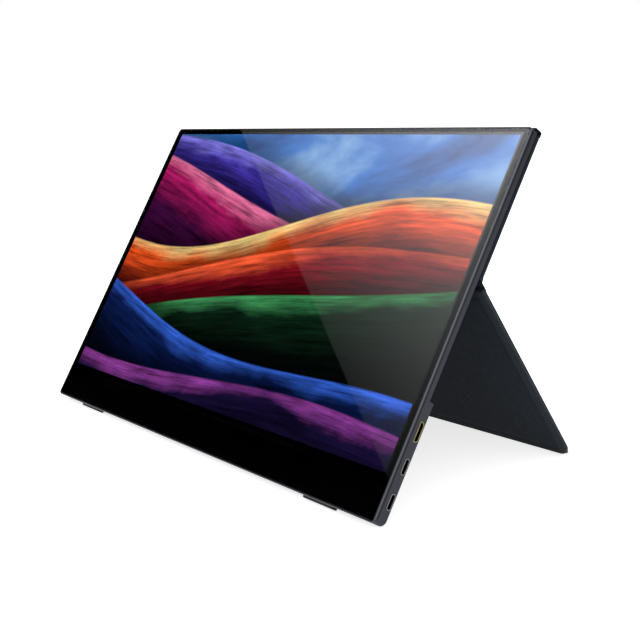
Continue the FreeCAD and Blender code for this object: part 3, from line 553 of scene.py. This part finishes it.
def leather_band(name: str, line: Array, thick: Array, half: float, finish: Material,
                 inner_stations: int = 25, edge_share: float = 0.35) -> Object:
    """Make a band of leather that follows a line across the fold.

    The section runs along the line half the thickness to one side, round the end and
    back on the other side. It is carried straight along x from edge to edge, with
    the last half thickness drawn in to round the edges.

    Args:
        name: the band's name.
        line: the middle of the leather by y and z, in the panel's frame.
        thick: the leather's thickness at each point of the line.
        half: half of the band's length along x.
        finish: the band's material.
        inner_stations: how many sections lie between its two edges.
        edge_share: the share of the thickness that is left at the edges.

    Returns:
        The new object.
    """
    along = np.gradient(line, axis=0)
    along = along / np.linalg.norm(along, axis=1, keepdims=True)
    side = np.stack([-along[:, 1], along[:, 0]], axis=1)
    rim = float(thick.max()) / 2
    inner = np.linspace(-half + rim, half - rim, inner_stations)
    stations = np.concatenate([[-half], inner, [half]])
    width = np.ones(len(stations))
    width[[0, -1]] = edge_share
    shift = side[None] * thick[None, :, None] / 2 * width[:, None, None]
    loops = np.concatenate([line[None] + shift, (line[None] - shift)[:, ::-1]], axis=1)
    across = np.broadcast_to(stations[:, None, None], (*loops.shape[:2], 1))
    points = PANEL.row(np.concatenate([across, loops], axis=-1))
    return make_object(name, points, ring_faces(*loops.shape[:2]), finish)


class Finishes:
    """Every finish of the monitor and its cover, built once."""

    def __init__(self) -> None:
        """Build the node materials."""
        # Bead-blasted, anodised aluminium: dark slate, even and matt, soft glints.
        slate = Finish("anodised_aluminium_slate", "#393b42", "#43454c", Texture.BLASTED, 0.5,
                       0.012, 0.42, 0.05, metallic=0.85)
        # Embossed PU leather: fine pebbles with darker valleys. The real grain is about
        # 0.6 mm, drawn at 1.5 mm so that it shows.
        leather = Finish("pu_leather_navy_black", "#161e28", "#262f3a", Texture.GRAINED, 1.5,
                         0.09, 0.6, 0.08, specular=0.2)
        # Nickel-plated steel: bright, slightly drawn along its length.
        nickel = Finish("nickel_plated_steel", "#8f9092", "#a3a4a6", Texture.ROLLED, 0.4, 0.004,
                        0.28, 0.05, metallic=1.0)
        made = [
            slate, leather, nickel,
            # The frame with its polished cut: smoother, so that its edge glints, and the cut drawn
            # lighter, partly the bare metal and partly a painted highlight.
            replace(slate, name="anodised_aluminium_rim", grain_mm=0.6, relief_mm=0.006,
                    roughness=0.24, metallic=0.95, cut="#63656b"),
            # The back sheet, with its cut edge painted a lighter grey.
            replace(leather, name="pu_leather_painted_edge", cut="#565b63",
                    edge_paint_and_highlight_box=(177.2, NO_LIMIT, 7.0)),
            # The flap, with a painted highlight: its side hems are drawn lighter, as they face up
            # and to the right and catch the light.
            replace(leather, name="pu_leather_hem_painted_highlight", cut="#2a3037",
                    edge_paint_and_highlight_box=(172.4, NO_LIMIT, NO_LIMIT)),
            # The shells of the sockets, with painted shade that darkens them inwards from the
            # mouth. The video socket has a pale gold flash.
            replace(nickel, name="nickel_plated_shell_lower", mouth="usb_c_port_lower"),
            replace(nickel, name="nickel_plated_shell_upper", mouth="usb_c_port_upper"),
            replace(nickel, name="gold_flashed_shell", base="#a38f5c", second="#b8a473",
                    mouth="mini_hdmi_port"),
            # Brushed microfibre: short soft pile, no gloss.
            Finish("microfibre_lining_charcoal", "#131920", "#1d242c", Texture.FIBROUS, 1.1, 0.07,
                   0.92, 0.04, specular=0.08),
            # Moulded silicone rubber: black, matt, faint tool texture.
            Finish("silicone_rubber_black", "#1b1b1d", "#262628", Texture.BLASTED, 0.7, 0.03, 0.7),
            # Moulded ABS, spark-eroded: dark grey with a fine even texture.
            Finish("abs_spark_eroded_slate", "#3a3b40", "#45464b", Texture.BLASTED, 0.5, 0.015,
                   0.5),
            # Black oxide screws.
            Finish("black_oxide_steel", "#202022", "#2c2c2e", Texture.BLASTED, 0.4, 0.01, 0.38,
                   metallic=0.9),
            # Acrylic foam tape, bonded to the glass, so that it mirrors nothing.
            Finish("acrylic_tape_black", "#020202", "#030304", Texture.BLASTED, 0.8, 0.01, 0.6,
                   specular=0.0),
            # Solder-masked glass-epoxy board.
            Finish("glass_epoxy_green", "#123d25", "#184a2e", Texture.BLASTED, 2.0, 0.01, 0.4),
            # Moulded epoxy on chips, speakers and switches.
            Finish("moulded_epoxy_black", "#151517", "#1e1e21", Texture.BLASTED, 0.5, 0.01, 0.55),
            # Amber polyimide flex.
            Finish("polyimide_amber", "#8a4f14", "#9c5e1e", Texture.ROLLED, 1.0, 0.005, 0.35),
            # Rolled steel sheet.
            Finish("rolled_steel_sheet", "#86878a", "#98999c", Texture.ROLLED, 0.5, 0.006, 0.35,
                   metallic=1.0),
            # Diffusing polyester film and acrylic plate.
            Finish("diffuser_film_white", "#dfe0e0", "#ececec", Texture.BLASTED, 1.0, 0.004, 0.5),
            # Grey board in the cover.
            Finish("bookbinder_board_grey", "#8a847a", "#979187", Texture.FIBROUS, 1.2, 0.03, 0.9),
            # Soft thermal pad.
            Finish("silicone_pad_blue_grey", "#7d8794", "#8b95a2", Texture.BLASTED, 1.0, 0.02, 0.8),
        ]
        self.by_name = {item.name: item.material() for item in made}
        self.by_name["float_glass_polished"] = GlassFinish().material()
        self.by_name["liquid_crystal_lit"] = Screen().material()

    def __getitem__(self, name: str) -> Material:
        """Give a finish by its name."""
        return self.by_name[name]


@dataclass(frozen=True)
class Ribbon:
    """One fold of the screen's abstract design, lit along its upper edge.

    Its edge is a level plus a slope and a sine of the way across, and its colours run
    from the edge downwards.
    """

    level: float
    slope: float
    swing: float
    waves: float
    phase: float
    colours: tuple[str, str, str]
    depth: float = 0.2
    drift: float = 0.22
    strands: tuple[float, float, float] = (7.0, 60.0, 1.0)
    strand_range: tuple[float, float] = (0.32, 0.68)
    strand_gain: tuple[float, float] = (0.3, 1.5)
    shadow_reach: float = 0.09
    shadow_light: float = 0.45
    soft_edge: float = 0.006

    def below(self, tree: NodeTree, parts: Node) -> NodeSocket:
        """Give how far below the ribbon's edge a place is, as a share of the height.

        Args:
            tree: the material's node tree.
            parts: the node that splits the place into shares of width and height.

        Returns:
            The socket, negative above the edge.
        """
        across, up = parts.outputs[:2]
        wave = sums(tree, "SINE", sums(tree, "MULTIPLY_ADD", across, self.waves, self.phase))
        line = sums(tree, "MULTIPLY_ADD", across, self.slope, self.level)
        edge = sums(tree, "MULTIPLY_ADD", wave, self.swing, line)
        return sums(tree, "SUBTRACT", edge, up)

    def over(self, tree: NodeTree, parts: Node, cloud: NodeSocket,
             behind: NodeSocket) -> NodeSocket:
        """Lay the ribbon over a picture, with its shadow on what is behind it.

        Args:
            tree: the material's node tree.
            parts: the node that splits the place into shares of width and height.
            cloud: soft noise that drifts the colours.
            behind: the picture so far.

        Returns:
            The picture with the ribbon.
        """
        below = self.below(tree, parts)
        start = self.drift / 2
        share = remap(tree, sums(tree, "MULTIPLY_ADD", cloud, self.drift, below),
                      (start, self.depth + start))
        colour = ramp(tree, share, list(zip((0.0, 0.3, 1.0), self.colours)))
        along = add(tree, "ShaderNodeCombineXYZ", {2: self.phase},
                    {0: parts.outputs[0], 1: below})
        thread = add(tree, "ShaderNodeVectorMath", {1: self.strands}, {0: along.outputs[0]},
                     operation="MULTIPLY")
        strand = add(tree, "ShaderNodeTexNoise", {"Scale": 1.0, "Detail": 5.0, "Roughness": 0.7},
                     {"Vector": thread.outputs[0]})
        gain = remap(tree, strand.outputs[0], self.strand_range, self.strand_gain)
        cloth = add(tree, "ShaderNodeVectorMath", links={0: colour, 3: gain},
                    operation="SCALE")
        shadow = remap(tree, below, (-self.shadow_reach, 0.0), (1.0, self.shadow_light),
                       interpolation_type="SMOOTHSTEP")
        dimmed = add(tree, "ShaderNodeVectorMath", links={0: behind, 3: shadow}, operation="SCALE")
        mask = remap(tree, below, (0.0, self.soft_edge))
        return add(tree, "ShaderNodeMix",
                   links={0: mask, 6: dimmed.outputs[0], 7: cloth.outputs[0]},
                   data_type="RGBA").outputs[2]


@dataclass(frozen=True)
class Screen:
    """The lit area of the display with a plain abstract design of flowing folds."""

    width: float = 344.16
    height: float = 193.6
    low: float = 26.0
    strength: float = 1.0
    ribbons: tuple[Ribbon, ...] = (
        Ribbon(0.98, -0.34, 0.05, 4.6, 0.4, ("#8f86f0", "#4636a8", "#1a1250")),
        Ribbon(0.86, -0.26, 0.06, 3.9, 2.2, ("#ff7fae", "#b81c66", "#3c0a38")),
        Ribbon(0.58, 0.16, 0.08, 5.2, 3.6, ("#ffd98a", "#ff5a20", "#86101c")),
        Ribbon(0.40, 0.22, 0.06, 4.3, 5.1, ("#ff6038", "#86101f", "#1c0510")),
        Ribbon(0.16, 0.42, 0.06, 3.4, 0.9, ("#3f9055", "#0c2616", "#040b08")),
        Ribbon(0.34, -0.20, 0.06, 4.8, 2.7, ("#3a6ae0", "#0d1e52", "#040a1e")),
        Ribbon(0.12, -0.06, 0.05, 4.1, 4.4, ("#93409a", "#190f34", "#03040c")),
    )

    def material(self) -> Material:
        """Build the lit picture: a clouded sky of two blues, and ribbons laid over it."""
        material, tree, output = new_material("liquid_crystal_lit")
        local = panel_place(tree, (-self.width / 2, self.low, 0.0),
                            (self.width, self.height, 1.0 / MM))
        parts = add(tree, "ShaderNodeSeparateXYZ", links={0: local})
        cloud = add(tree, "ShaderNodeTexNoise",
                    {"Scale": 2.6, "Detail": 5.0, "Roughness": 0.55, "Distortion": 0.6},
                    {"Vector": local}).outputs[0]
        picture = ramp(tree, cloud, [(0.32, "#0f2f74"), (0.5, "#3a7fd6"), (0.68, "#a9d2f8")])
        for ribbon in self.ribbons:
            picture = ribbon.over(tree, parts, cloud, picture)
        lit = add(tree, "ShaderNodeMix", {6: (0.0, 0.0, 0.0, 1.0)},
                  {0: self.inside(tree, parts), 7: picture}, data_type="RGBA")
        shader = add(tree, "ShaderNodeBsdfPrincipled",
                     {"Base Color": linear("#020202"), "Roughness": 0.35,
                      "Specular IOR Level": 0.0, "Emission Strength": self.strength},
                     {"Emission Color": lit.outputs[2]})
        tree.links.new(shader.outputs[0], output.inputs[0])
        return material

    def inside(self, tree: NodeTree, parts: Node) -> NodeSocket:
        """Give one inside the lit area and zero outside.

        Args:
            tree: the material's node tree.
            parts: the node that splits the place into shares of width and height.

        Returns:
            The mask's socket.
        """
        result = 1.0
        for axis in parts.outputs[:2]:
            for operation, edge in (("GREATER_THAN", 0.0), ("LESS_THAN", 1.0)):
                result = sums(tree, "MULTIPLY", result, sums(tree, operation, axis, edge))
        return result


class Housing:
    """The rigid pieces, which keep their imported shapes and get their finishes."""

    nodes_of = {
        "anodised_aluminium_rim": ("front_frame",),
        "anodised_aluminium_slate": ("rear_housing", "bay_cover"),
        "float_glass_polished": ("cover_glass",),
        "liquid_crystal_lit": ("lcd_cell",),
        "acrylic_tape_black": ("glass_tape", "panel_tape", "sheet_adhesive"),
        "diffuser_film_white": ("optical_films", "light_guide", "reflector_sheet"),
        "glass_epoxy_green": ("led_bar", "main_board", "driver_board", "key_board"),
        "rolled_steel_sheet": ("panel_tray", "rocker_bracket"),
        "moulded_epoxy_black": ("scaler_chip", "speaker_left", "speaker_right", "key_switches",
                                "audio_jack"),
        "silicone_pad_blue_grey": ("thermal_pad",),
        "black_oxide_steel": ("board_screws", "housing_screws", "rocker_pin"),
        "polyimide_amber": ("driver_flexes", "panel_cable", "key_cable"),
        "nickel_plated_shell_lower": ("usb_c_port_lower",),
        "nickel_plated_shell_upper": ("usb_c_port_upper",),
        "gold_flashed_shell": ("mini_hdmi_port",),
        "abs_spark_eroded_slate": ("power_button", "menu_rocker"),
        "silicone_rubber_black": ("foot_left", "foot_right"),
        "nickel_plated_steel": ("frame_magnets", "top_panel_magnets", "flap_magnets"),
        "bookbinder_board_grey": ("top_panel_board", "flap_board"),
        "pu_leather_navy_black": ("cover_back_sheet", "spine_strip", "crease_web",
                                  "top_panel_skin", "flap_skin"),
        "microfibre_lining_charcoal": ("top_panel_lining", "flap_lining"),
    }

    def dress(self, finishes: Finishes) -> None:
        """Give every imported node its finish.

        Args:
            finishes: the built materials.
        """
        finish_of = {node: name for name, nodes in self.nodes_of.items() for node in nodes}
        for node, item in frame["nodes"].items():
            item.data.materials.clear()
            item.data.materials.append(finishes[finish_of[node]])
            LOG.info("%s gets %s", node, finish_of[node])


@dataclass
class Folio:
    """The folio cover: back sheet, spine, upper panel, crease and stand flap."""

    finishes: Finishes
    half: float = 177.5
    leather: float = 0.7
    sheet_low: float = 70.8
    sheet_front: float = 5.4
    sheet_corner: float = 5.0
    sheet_stop: float = 1.6
    spine_level: float = 225.35
    spine_depth: float = 4.2
    lip_level: float = 224.5
    lip_thick: float = 0.4
    lip_foot: float = 2.0
    lip_lead: float = 0.2
    lip_round: float = 0.6
    turn_points: int = 41
    spine_round: float = 1.4
    spine_clear: float = 0.3
    spine_lap: float = 3.0
    fold_gap: float = 0.55
    panel_front: float = 6.5
    panel_thick: float = 3.0
    panel_corner: float = 2.5
    square_corner: float = 0.8
    turn_in: float = 0.3
    crease_level: float = 136.8
    crease_round: float = 0.75
    crease_lap: float = 2.4
    bend_points: int = 17
    bend_share: float = 0.8
    web: float = 3.6
    flap_reach: float = 133.5
    flap_corner: float = 7.0
    hem: float = 5.0

    @property
    def sheet_middle(self) -> float:
        """Give the height of the middle of the back sheet, behind the glass."""
        return -(self.sheet_front + self.leather / 2)

    @property
    def fold_height(self) -> float:
        """Give the height of the upper panel's fold lines, behind the glass."""
        return -(self.panel_front + self.panel_thick - self.leather / 2)

    def build(self) -> None:
        """Build every piece of the cover, and set the rigid pieces on their bodies."""
        self.back_sheet()
        self.stiff_panel("upper_panel", "top_panel", "cover_panel", PANEL,
                         (self.crease_level + self.fold_gap,
                          self.spine_level - self.spine_round - self.spine_clear),
                         -self.panel_front, (self.square_corner, self.panel_corner,
                                             self.panel_corner, self.square_corner),
                         "pu_leather_navy_black")
        self.stiff_panel("stand_flap", "flap", "stand_flap", FLAP,
                         (-self.flap_reach, -self.web - self.fold_gap),
                         self.panel_thick - self.leather / 2,
                         (self.flap_corner, self.square_corner, self.square_corner,
                          self.flap_corner),
                         # The flap's wrap has a painted highlight on its side hems.
                         "pu_leather_hem_painted_highlight")
        self.spine()
        self.crease()

    def piece(self, item: Object, body: str, slot: str, *nodes: str) -> None:
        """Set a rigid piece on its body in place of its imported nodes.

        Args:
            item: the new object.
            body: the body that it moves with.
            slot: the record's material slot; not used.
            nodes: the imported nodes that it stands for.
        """
        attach(item, body)
        if nodes:
            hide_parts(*nodes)
        LOG.info("%s rides %s", item.name, body)

    def back_sheet(self) -> None:
        """Make the sheet that stays glued to the back of the thin part."""
        top = -self.sheet_front
        low = top - self.leather
        section = [(2.0, top), (0.3, top), (0.05, top - 0.1), (0.0, low + 0.35),
                   (0.05, low + 0.15), (0.3, low), (2.2, low), (2.6, low + 0.1), (3.0, low),
                   (9.0, low)]
        item = round_plate("back_sheet_leather", PANEL,
                           (-self.half, self.half, self.sheet_low,
                            self.lip_level - self.sheet_stop),
                           (self.sheet_corner, self.square_corner, self.square_corner,
                            self.sheet_corner), section, self.finishes["pu_leather_painted_edge"])
        self.piece(item, "monitor", "leather", "cover_back_sheet")

    def stiff_panel(self, name: str, node: str, body: str, place: PanelFrame,
                    span: tuple[float, float], face: float, radii: Sequence[float],
                    leather: str) -> None:
        """Make one stiff panel: a leather wrap with a pressed hem, and its lining.

        The wrap's section runs from the leather face, through a shallow hem groove, over
        a rounded edge, and turns in under the lining. The lining is a thin plate set in
        from the edge.

        Args:
            name: the start of the pieces' names.
            node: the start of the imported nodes' names.
            body: the body that the panel belongs to.
            place: the frame that it is drawn in.
            span: its low and high sides.
            face: the height of its leather face.
            radii: the corner radii.
            leather: the finish of its wrap.
        """
        rear = face - self.panel_thick
        turned = rear + self.turn_in
        hem = self.hem
        wrap = [(hem + 4.0, face), (hem + 0.9, face), (hem + 0.45, face - 0.14),
                (hem, face - 0.16), (hem - 0.5, face - 0.02), (hem - 1.2, face), (1.1, face),
                (0.55, face - 0.09), (0.2, face - 0.32), (0.03, face - 0.7), (0.0, face - 1.1),
                (0.0, turned + 0.8), (0.06, turned + 0.4), (0.3, turned + 0.1), (0.8, turned),
                (3.0, turned), (6.0, turned)]
        sides = (-self.half, self.half, *span)
        skin = round_plate(f"{name}_wrap", place, sides, radii, wrap, self.finishes[leather])
        self.piece(skin, body, "leather", f"{node}_skin")
        pile = [(4.0, rear), (2.4, rear), (2.1, rear + 0.06), (1.95, rear + 0.2),
                (1.95, turned + 0.02), (4.0, turned + 0.02)]
        lining = round_plate(f"{name}_lining", place, sides, radii, pile,
                             self.finishes["microfibre_lining_charcoal"])
        self.piece(lining, body, "lining", f"{node}_lining")

    def spine(self) -> None:
        """Make the leather over the top: a band folded back on its lip, one at the panel.

        The first climbs the back sheet and goes forward on the top edge as a thinned lip.
        A half circle turns it back into the strip above. The second bends from the strip
        down into the upper panel. They meet in the middle of the strip.
        """
        middle = (self.lip_level + self.spine_level) / 2
        radius = (self.spine_level - self.lip_level) / 2
        panel = np.array([self.spine_level, self.fold_height])
        meet = np.array([self.spine_level, (self.fold_height - self.spine_depth) / 2])
        climb = rounded_line(np.array([(self.lip_level - self.lip_foot, self.sheet_middle),
                                       (self.lip_level, self.sheet_middle),
                                       (self.lip_level, -self.spine_depth - self.lip_lead)]),
                             self.lip_round)
        turn = np.linspace(-math.pi / 2, math.pi / 2, self.turn_points)
        arc = np.stack([middle + radius * np.sin(turn),
                        -self.spine_depth + radius * np.cos(turn)], axis=1)
        share = (1 + np.sin(turn)) / 2
        thick = np.concatenate([np.linspace(self.leather, self.lip_thick, len(climb)),
                                self.lip_thick + (self.leather - self.lip_thick) * share,
                                [self.leather]])
        pair = np.array([(self.lip_level + self.lip_thick / 2, -self.spine_depth),
                         (self.spine_level - self.leather / 2, -self.spine_depth)])
        self.band("spine_band_top", np.concatenate([climb, arc, [meet]]), thick, pair, "monitor",
                  "spine", "spine_strip")
        self.bent_band("spine_band_panel", np.array([meet, panel, panel - (self.spine_lap, 0.0)]),
                       self.spine_round, "spine", "cover_panel")

    def crease(self) -> None:
        """Make the leather over the crease: two bands that meet in the middle of the web."""
        fall = np.array([-FLAP.up @ PANEL.up, -FLAP.up @ PANEL.out])
        c1 = np.array([self.crease_level, self.fold_height])
        c2 = c1 + fall * self.web
        centre = (c1 + c2) / 2
        upper = np.array([c1 + (self.crease_lap, 0.0), c1, centre])
        lower = np.array([centre, c2, c2 + fall * self.crease_lap])
        self.bent_band("crease_band_upper", upper, self.crease_round, "cover_panel", "crease",
                       "crease_web")
        self.bent_band("crease_band_lower", lower, self.crease_round, "crease", "stand_flap")

    def bent_band(self, name: str, corners: Array, cut: float, body_a: str, body_b: str,
                  *nodes: str) -> None:
        """Make a band over one open fold.

        Args:
            name: the band's name.
            corners: the three corners of its middle line.
            cut: how far from the fold its bend starts.
            body_a: the body that it starts on.
            body_b: the body that it ends on.
            nodes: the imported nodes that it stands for.
        """
        sides = corners[[0, 2]] - corners[1]
        sides = sides / np.linalg.norm(sides, axis=1, keepdims=True)
        line = rounded_line(corners, cut, self.bend_points)
        self.band(name, line, np.full(len(line), self.leather),
                  corners[1] + self.bend_share * cut * sides, body_a, body_b, *nodes)

    def band(self, name: str, line: Array, thick: Array, pair: Array, body_a: str, body_b: str,
             *nodes: str) -> None:
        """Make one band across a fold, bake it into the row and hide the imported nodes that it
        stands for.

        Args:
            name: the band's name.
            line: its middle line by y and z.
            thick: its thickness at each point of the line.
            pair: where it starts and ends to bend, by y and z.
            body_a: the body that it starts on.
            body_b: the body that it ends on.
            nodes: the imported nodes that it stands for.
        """
        item = leather_band(name, line, thick, self.half, self.finishes["pu_leather_navy_black"])
        start, end = PANEL.row(np.concatenate([np.zeros((2, 1)), pair], axis=1))
        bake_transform(item)
        if nodes:
            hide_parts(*nodes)
        LOG.info("%s bends between %s and %s", name, body_a, body_b)


@dataclass
class Studio:
    """Camera, floor, sky, lamps and the boards that the glass and the side mirror."""

    camera_place: tuple[float, float, float] = (570.38, -2.88, 394.31)
    camera_aim: tuple[float, float, float] = (76.08, 96.72, 0.0)
    camera_roll: float = 22.954
    camera_lens: float = 61.70
    camera_sensor: float = 36.0
    sky_light: float = 0.75
    floor_reach: float = 30.0
    floor_glow: float = 0.36
    floor_lift: float = 0.38
    card_depth: float = 700.0
    card_power: float = 2.9
    card_steepness: float = 2.7
    card_blur: float = 2.0

    def build(self) -> None:
        """Build the studio."""
        self.camera()
        self.sky()
        self.floor()
        self.lamps()
        self.card()
        self.flag()

    def camera(self) -> None:
        """Set the camera where the photograph was taken from."""
        data = bpy.data.cameras.new("camera")
        data.lens = self.camera_lens
        data.sensor_width = self.camera_sensor
        item = bpy.data.objects.new("camera", data)
        place = Vector(PANEL.row(self.camera_place))
        aim = Vector(PANEL.row(self.camera_aim))
        ahead = (aim - place).normalized()
        right = ahead.cross(Vector(PANEL.up)).normalized()
        axes = Matrix((right, right.cross(ahead), -ahead)).transposed()
        roll = Matrix.Rotation(math.radians(self.camera_roll), 3, "Z")
        item.matrix_world = Matrix.Translation(place) @ (axes @ roll).to_4x4()
        bpy.context.scene.collection.objects.link(item)
        bpy.context.scene.camera = item

    def seen(self, tree: NodeTree) -> NodeSocket:
        """Give one for rays that look at the background, and zero for those that light.

        Args:
            tree: the node tree.

        Returns:
            The socket.
        """
        path = add(tree, "ShaderNodeLightPath")
        pair = sums(tree, "MAXIMUM", path.outputs["Is Camera Ray"], path.outputs["Is Glossy Ray"])
        return sums(tree, "MAXIMUM", pair, path.outputs["Is Transmission Ray"])

    def sky(self) -> None:
        """Make a soft white surround: white to look at, dimmer as a light."""
        world = bpy.data.worlds.new("studio")
        bpy.context.scene.world = world
        world.use_nodes = True
        tree = world.node_tree
        tree.nodes.clear()
        strength = remap(tree, self.seen(tree), (0.0, 1.0), (self.sky_light, 1.0))
        shade = add(tree, "ShaderNodeBackground", {"Color": (1.0, 1.0, 1.0, 1.0)},
                    {"Strength": strength})
        add(tree, "ShaderNodeOutputWorld", links={0: shade.outputs[0]})

    def floor(self) -> None:
        """Make the pale floor, which keeps the shadow."""
        reach = self.floor_reach
        points = np.array([(-reach, -reach, 0), (reach, -reach, 0), (reach, reach, 0),
                           (-reach, reach, 0)])
        material, tree, output = new_material("seamless_paper_white")
        matt = add(tree, "ShaderNodeBsdfDiffuse", {"Color": linear("#f2f2f2")})
        path = add(tree, "ShaderNodeLightPath")
        base = sums(tree, "MULTIPLY", self.seen(tree), self.floor_glow)
        glow = sums(tree, "MULTIPLY_ADD", path.outputs["Is Camera Ray"], self.floor_lift, base)
        lift = add(tree, "ShaderNodeEmission", links={"Strength": glow})
        both = add(tree, "ShaderNodeAddShader", links={0: matt.outputs[0], 1: lift.outputs[0]})
        tree.links.new(both.outputs[0], output.inputs[0])
        make_object("floor", points, [[0, 1, 2, 3]], material)

    def lamps(self) -> None:
        """Hang two large soft lamps: one overhead in front, one on the right."""
        self.lamp("key_lamp", (-0.5, -0.9, 1.6), (0.0, 0.0, 0.1), 1.6, 9.0)
        self.lamp("fill_lamp", (1.7, -0.3, 0.9), (0.0, 0.0, 0.08), 1.4, 3.0)

    def lamp(self, name: str, place: Sequence[float], aim: Sequence[float], size: float,
             watts: float) -> None:
        """Hang one square lamp.

        Args:
            name: the lamp's name.
            place: where it hangs, in metres.
            aim: what it points at.
            size: its side in metres.
            watts: its power.
        """
        data = bpy.data.lights.new(name, "AREA")
        data.shape = "SQUARE"
        data.size = size
        data.energy = watts
        item = bpy.data.objects.new(name, data)
        turn = (Vector(aim) - Vector(place)).to_track_quat("-Z", "Y")
        item.matrix_world = Matrix.Translation(Vector(place)) @ turn.to_matrix().to_4x4()
        bpy.context.scene.collection.objects.link(item)

    def card(self) -> None:
        """Make the card in front on the left that the glass mirrors, dark with a lit corner.

        A point of the glass mirrors the card's point that lies on the line from the
        camera's mirror image through it. The lit part starts at a slanted edge and
        brightens towards the upper right.
        """
        ratio = self.card_depth / self.camera_place[2]
        image = np.array(self.camera_place[:2])
        # On the glass: the field that the card fills, the lit part's slanted edge, and
        # the points where the lit part is brightest and where it ends.
        field = [(-215.0, -30.0), (215.0, -30.0), (215.0, 260.0), (-215.0, 260.0)]
        slant = [(-95.0, 223.7), (176.2, 23.8)]
        slope = [(178.0, 224.0), (51.6, 23.3)]
        glass = np.array(field + slant + slope)
        card = glass + (glass - image) * ratio
        points = PANEL.row(np.concatenate([card[:4], np.full((4, 1), self.card_depth)], axis=1))
        start, end, bright, dark = card[4:]
        material, tree, output = new_material("reflector_card")
        local = panel_place(tree, (*start, self.card_depth))
        run = (end - start) / np.linalg.norm(end - start)
        beside = add(tree, "ShaderNodeVectorMath", {1: (-run[1], run[0], 0.0)}, {0: local},
                     operation="DOT_PRODUCT")
        lit = remap(tree, beside.outputs["Value"], (-self.card_blur, self.card_blur))
        fall = (bright - dark) / np.linalg.norm(bright - dark)
        along = add(tree, "ShaderNodeVectorMath", {1: (fall[0], fall[1], 0.0)}, {0: local},
                    operation="DOT_PRODUCT")
        fade = remap(tree, along.outputs["Value"],
                     (float((dark - start) @ fall), float((bright - start) @ fall)))
        steep = sums(tree, "POWER", fade, self.card_steepness)
        level = sums(tree, "MULTIPLY", lit, steep)
        glow = add(tree, "ShaderNodeEmission",
                   links={"Strength": sums(tree, "MULTIPLY", level, self.card_power)})
        tree.links.new(glow.outputs[0], output.inputs[0])
        self.board("reflector_card", points, material)

    def flag(self) -> None:
        """Stand a black flag behind on the right, which the side mirrors near its top."""
        near, far, low, high = 0.65, 1.75, 0.1, 1.4
        points = np.array([(far, near, low), (near, far, low), (near, far, high),
                           (far, near, high)])
        material, tree, output = new_material("black_felt")
        matt = add(tree, "ShaderNodeBsdfDiffuse", {"Color": linear("#020202")})
        tree.links.new(matt.outputs[0], output.inputs[0])
        self.board("black_flag", points, material)

    def board(self, name: str, points: Array, material: Material) -> None:
        """Stand a board hidden from camera, diffuse and shadow rays, so that mirror images and rays
        through glass show it.

        Args:
            name: the board's name.
            points: its four corners in the row.
            material: its material.
        """
        item = make_object(name, points, [[0, 1, 2, 3]], material)
        item.visible_camera = False
        item.visible_diffuse = False
        item.visible_shadow = False


def main() -> None:
    """Build the cover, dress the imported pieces, and set the studio."""
    logging.basicConfig(level=logging.INFO, format="%(message)s")
    scene = bpy.context.scene
    scene.view_settings.view_transform = "Standard"
    finishes = Finishes()
    Housing().dress(finishes)
    Folio(finishes).build()
    Studio().build()


if __name__ == "__main__":
    main()
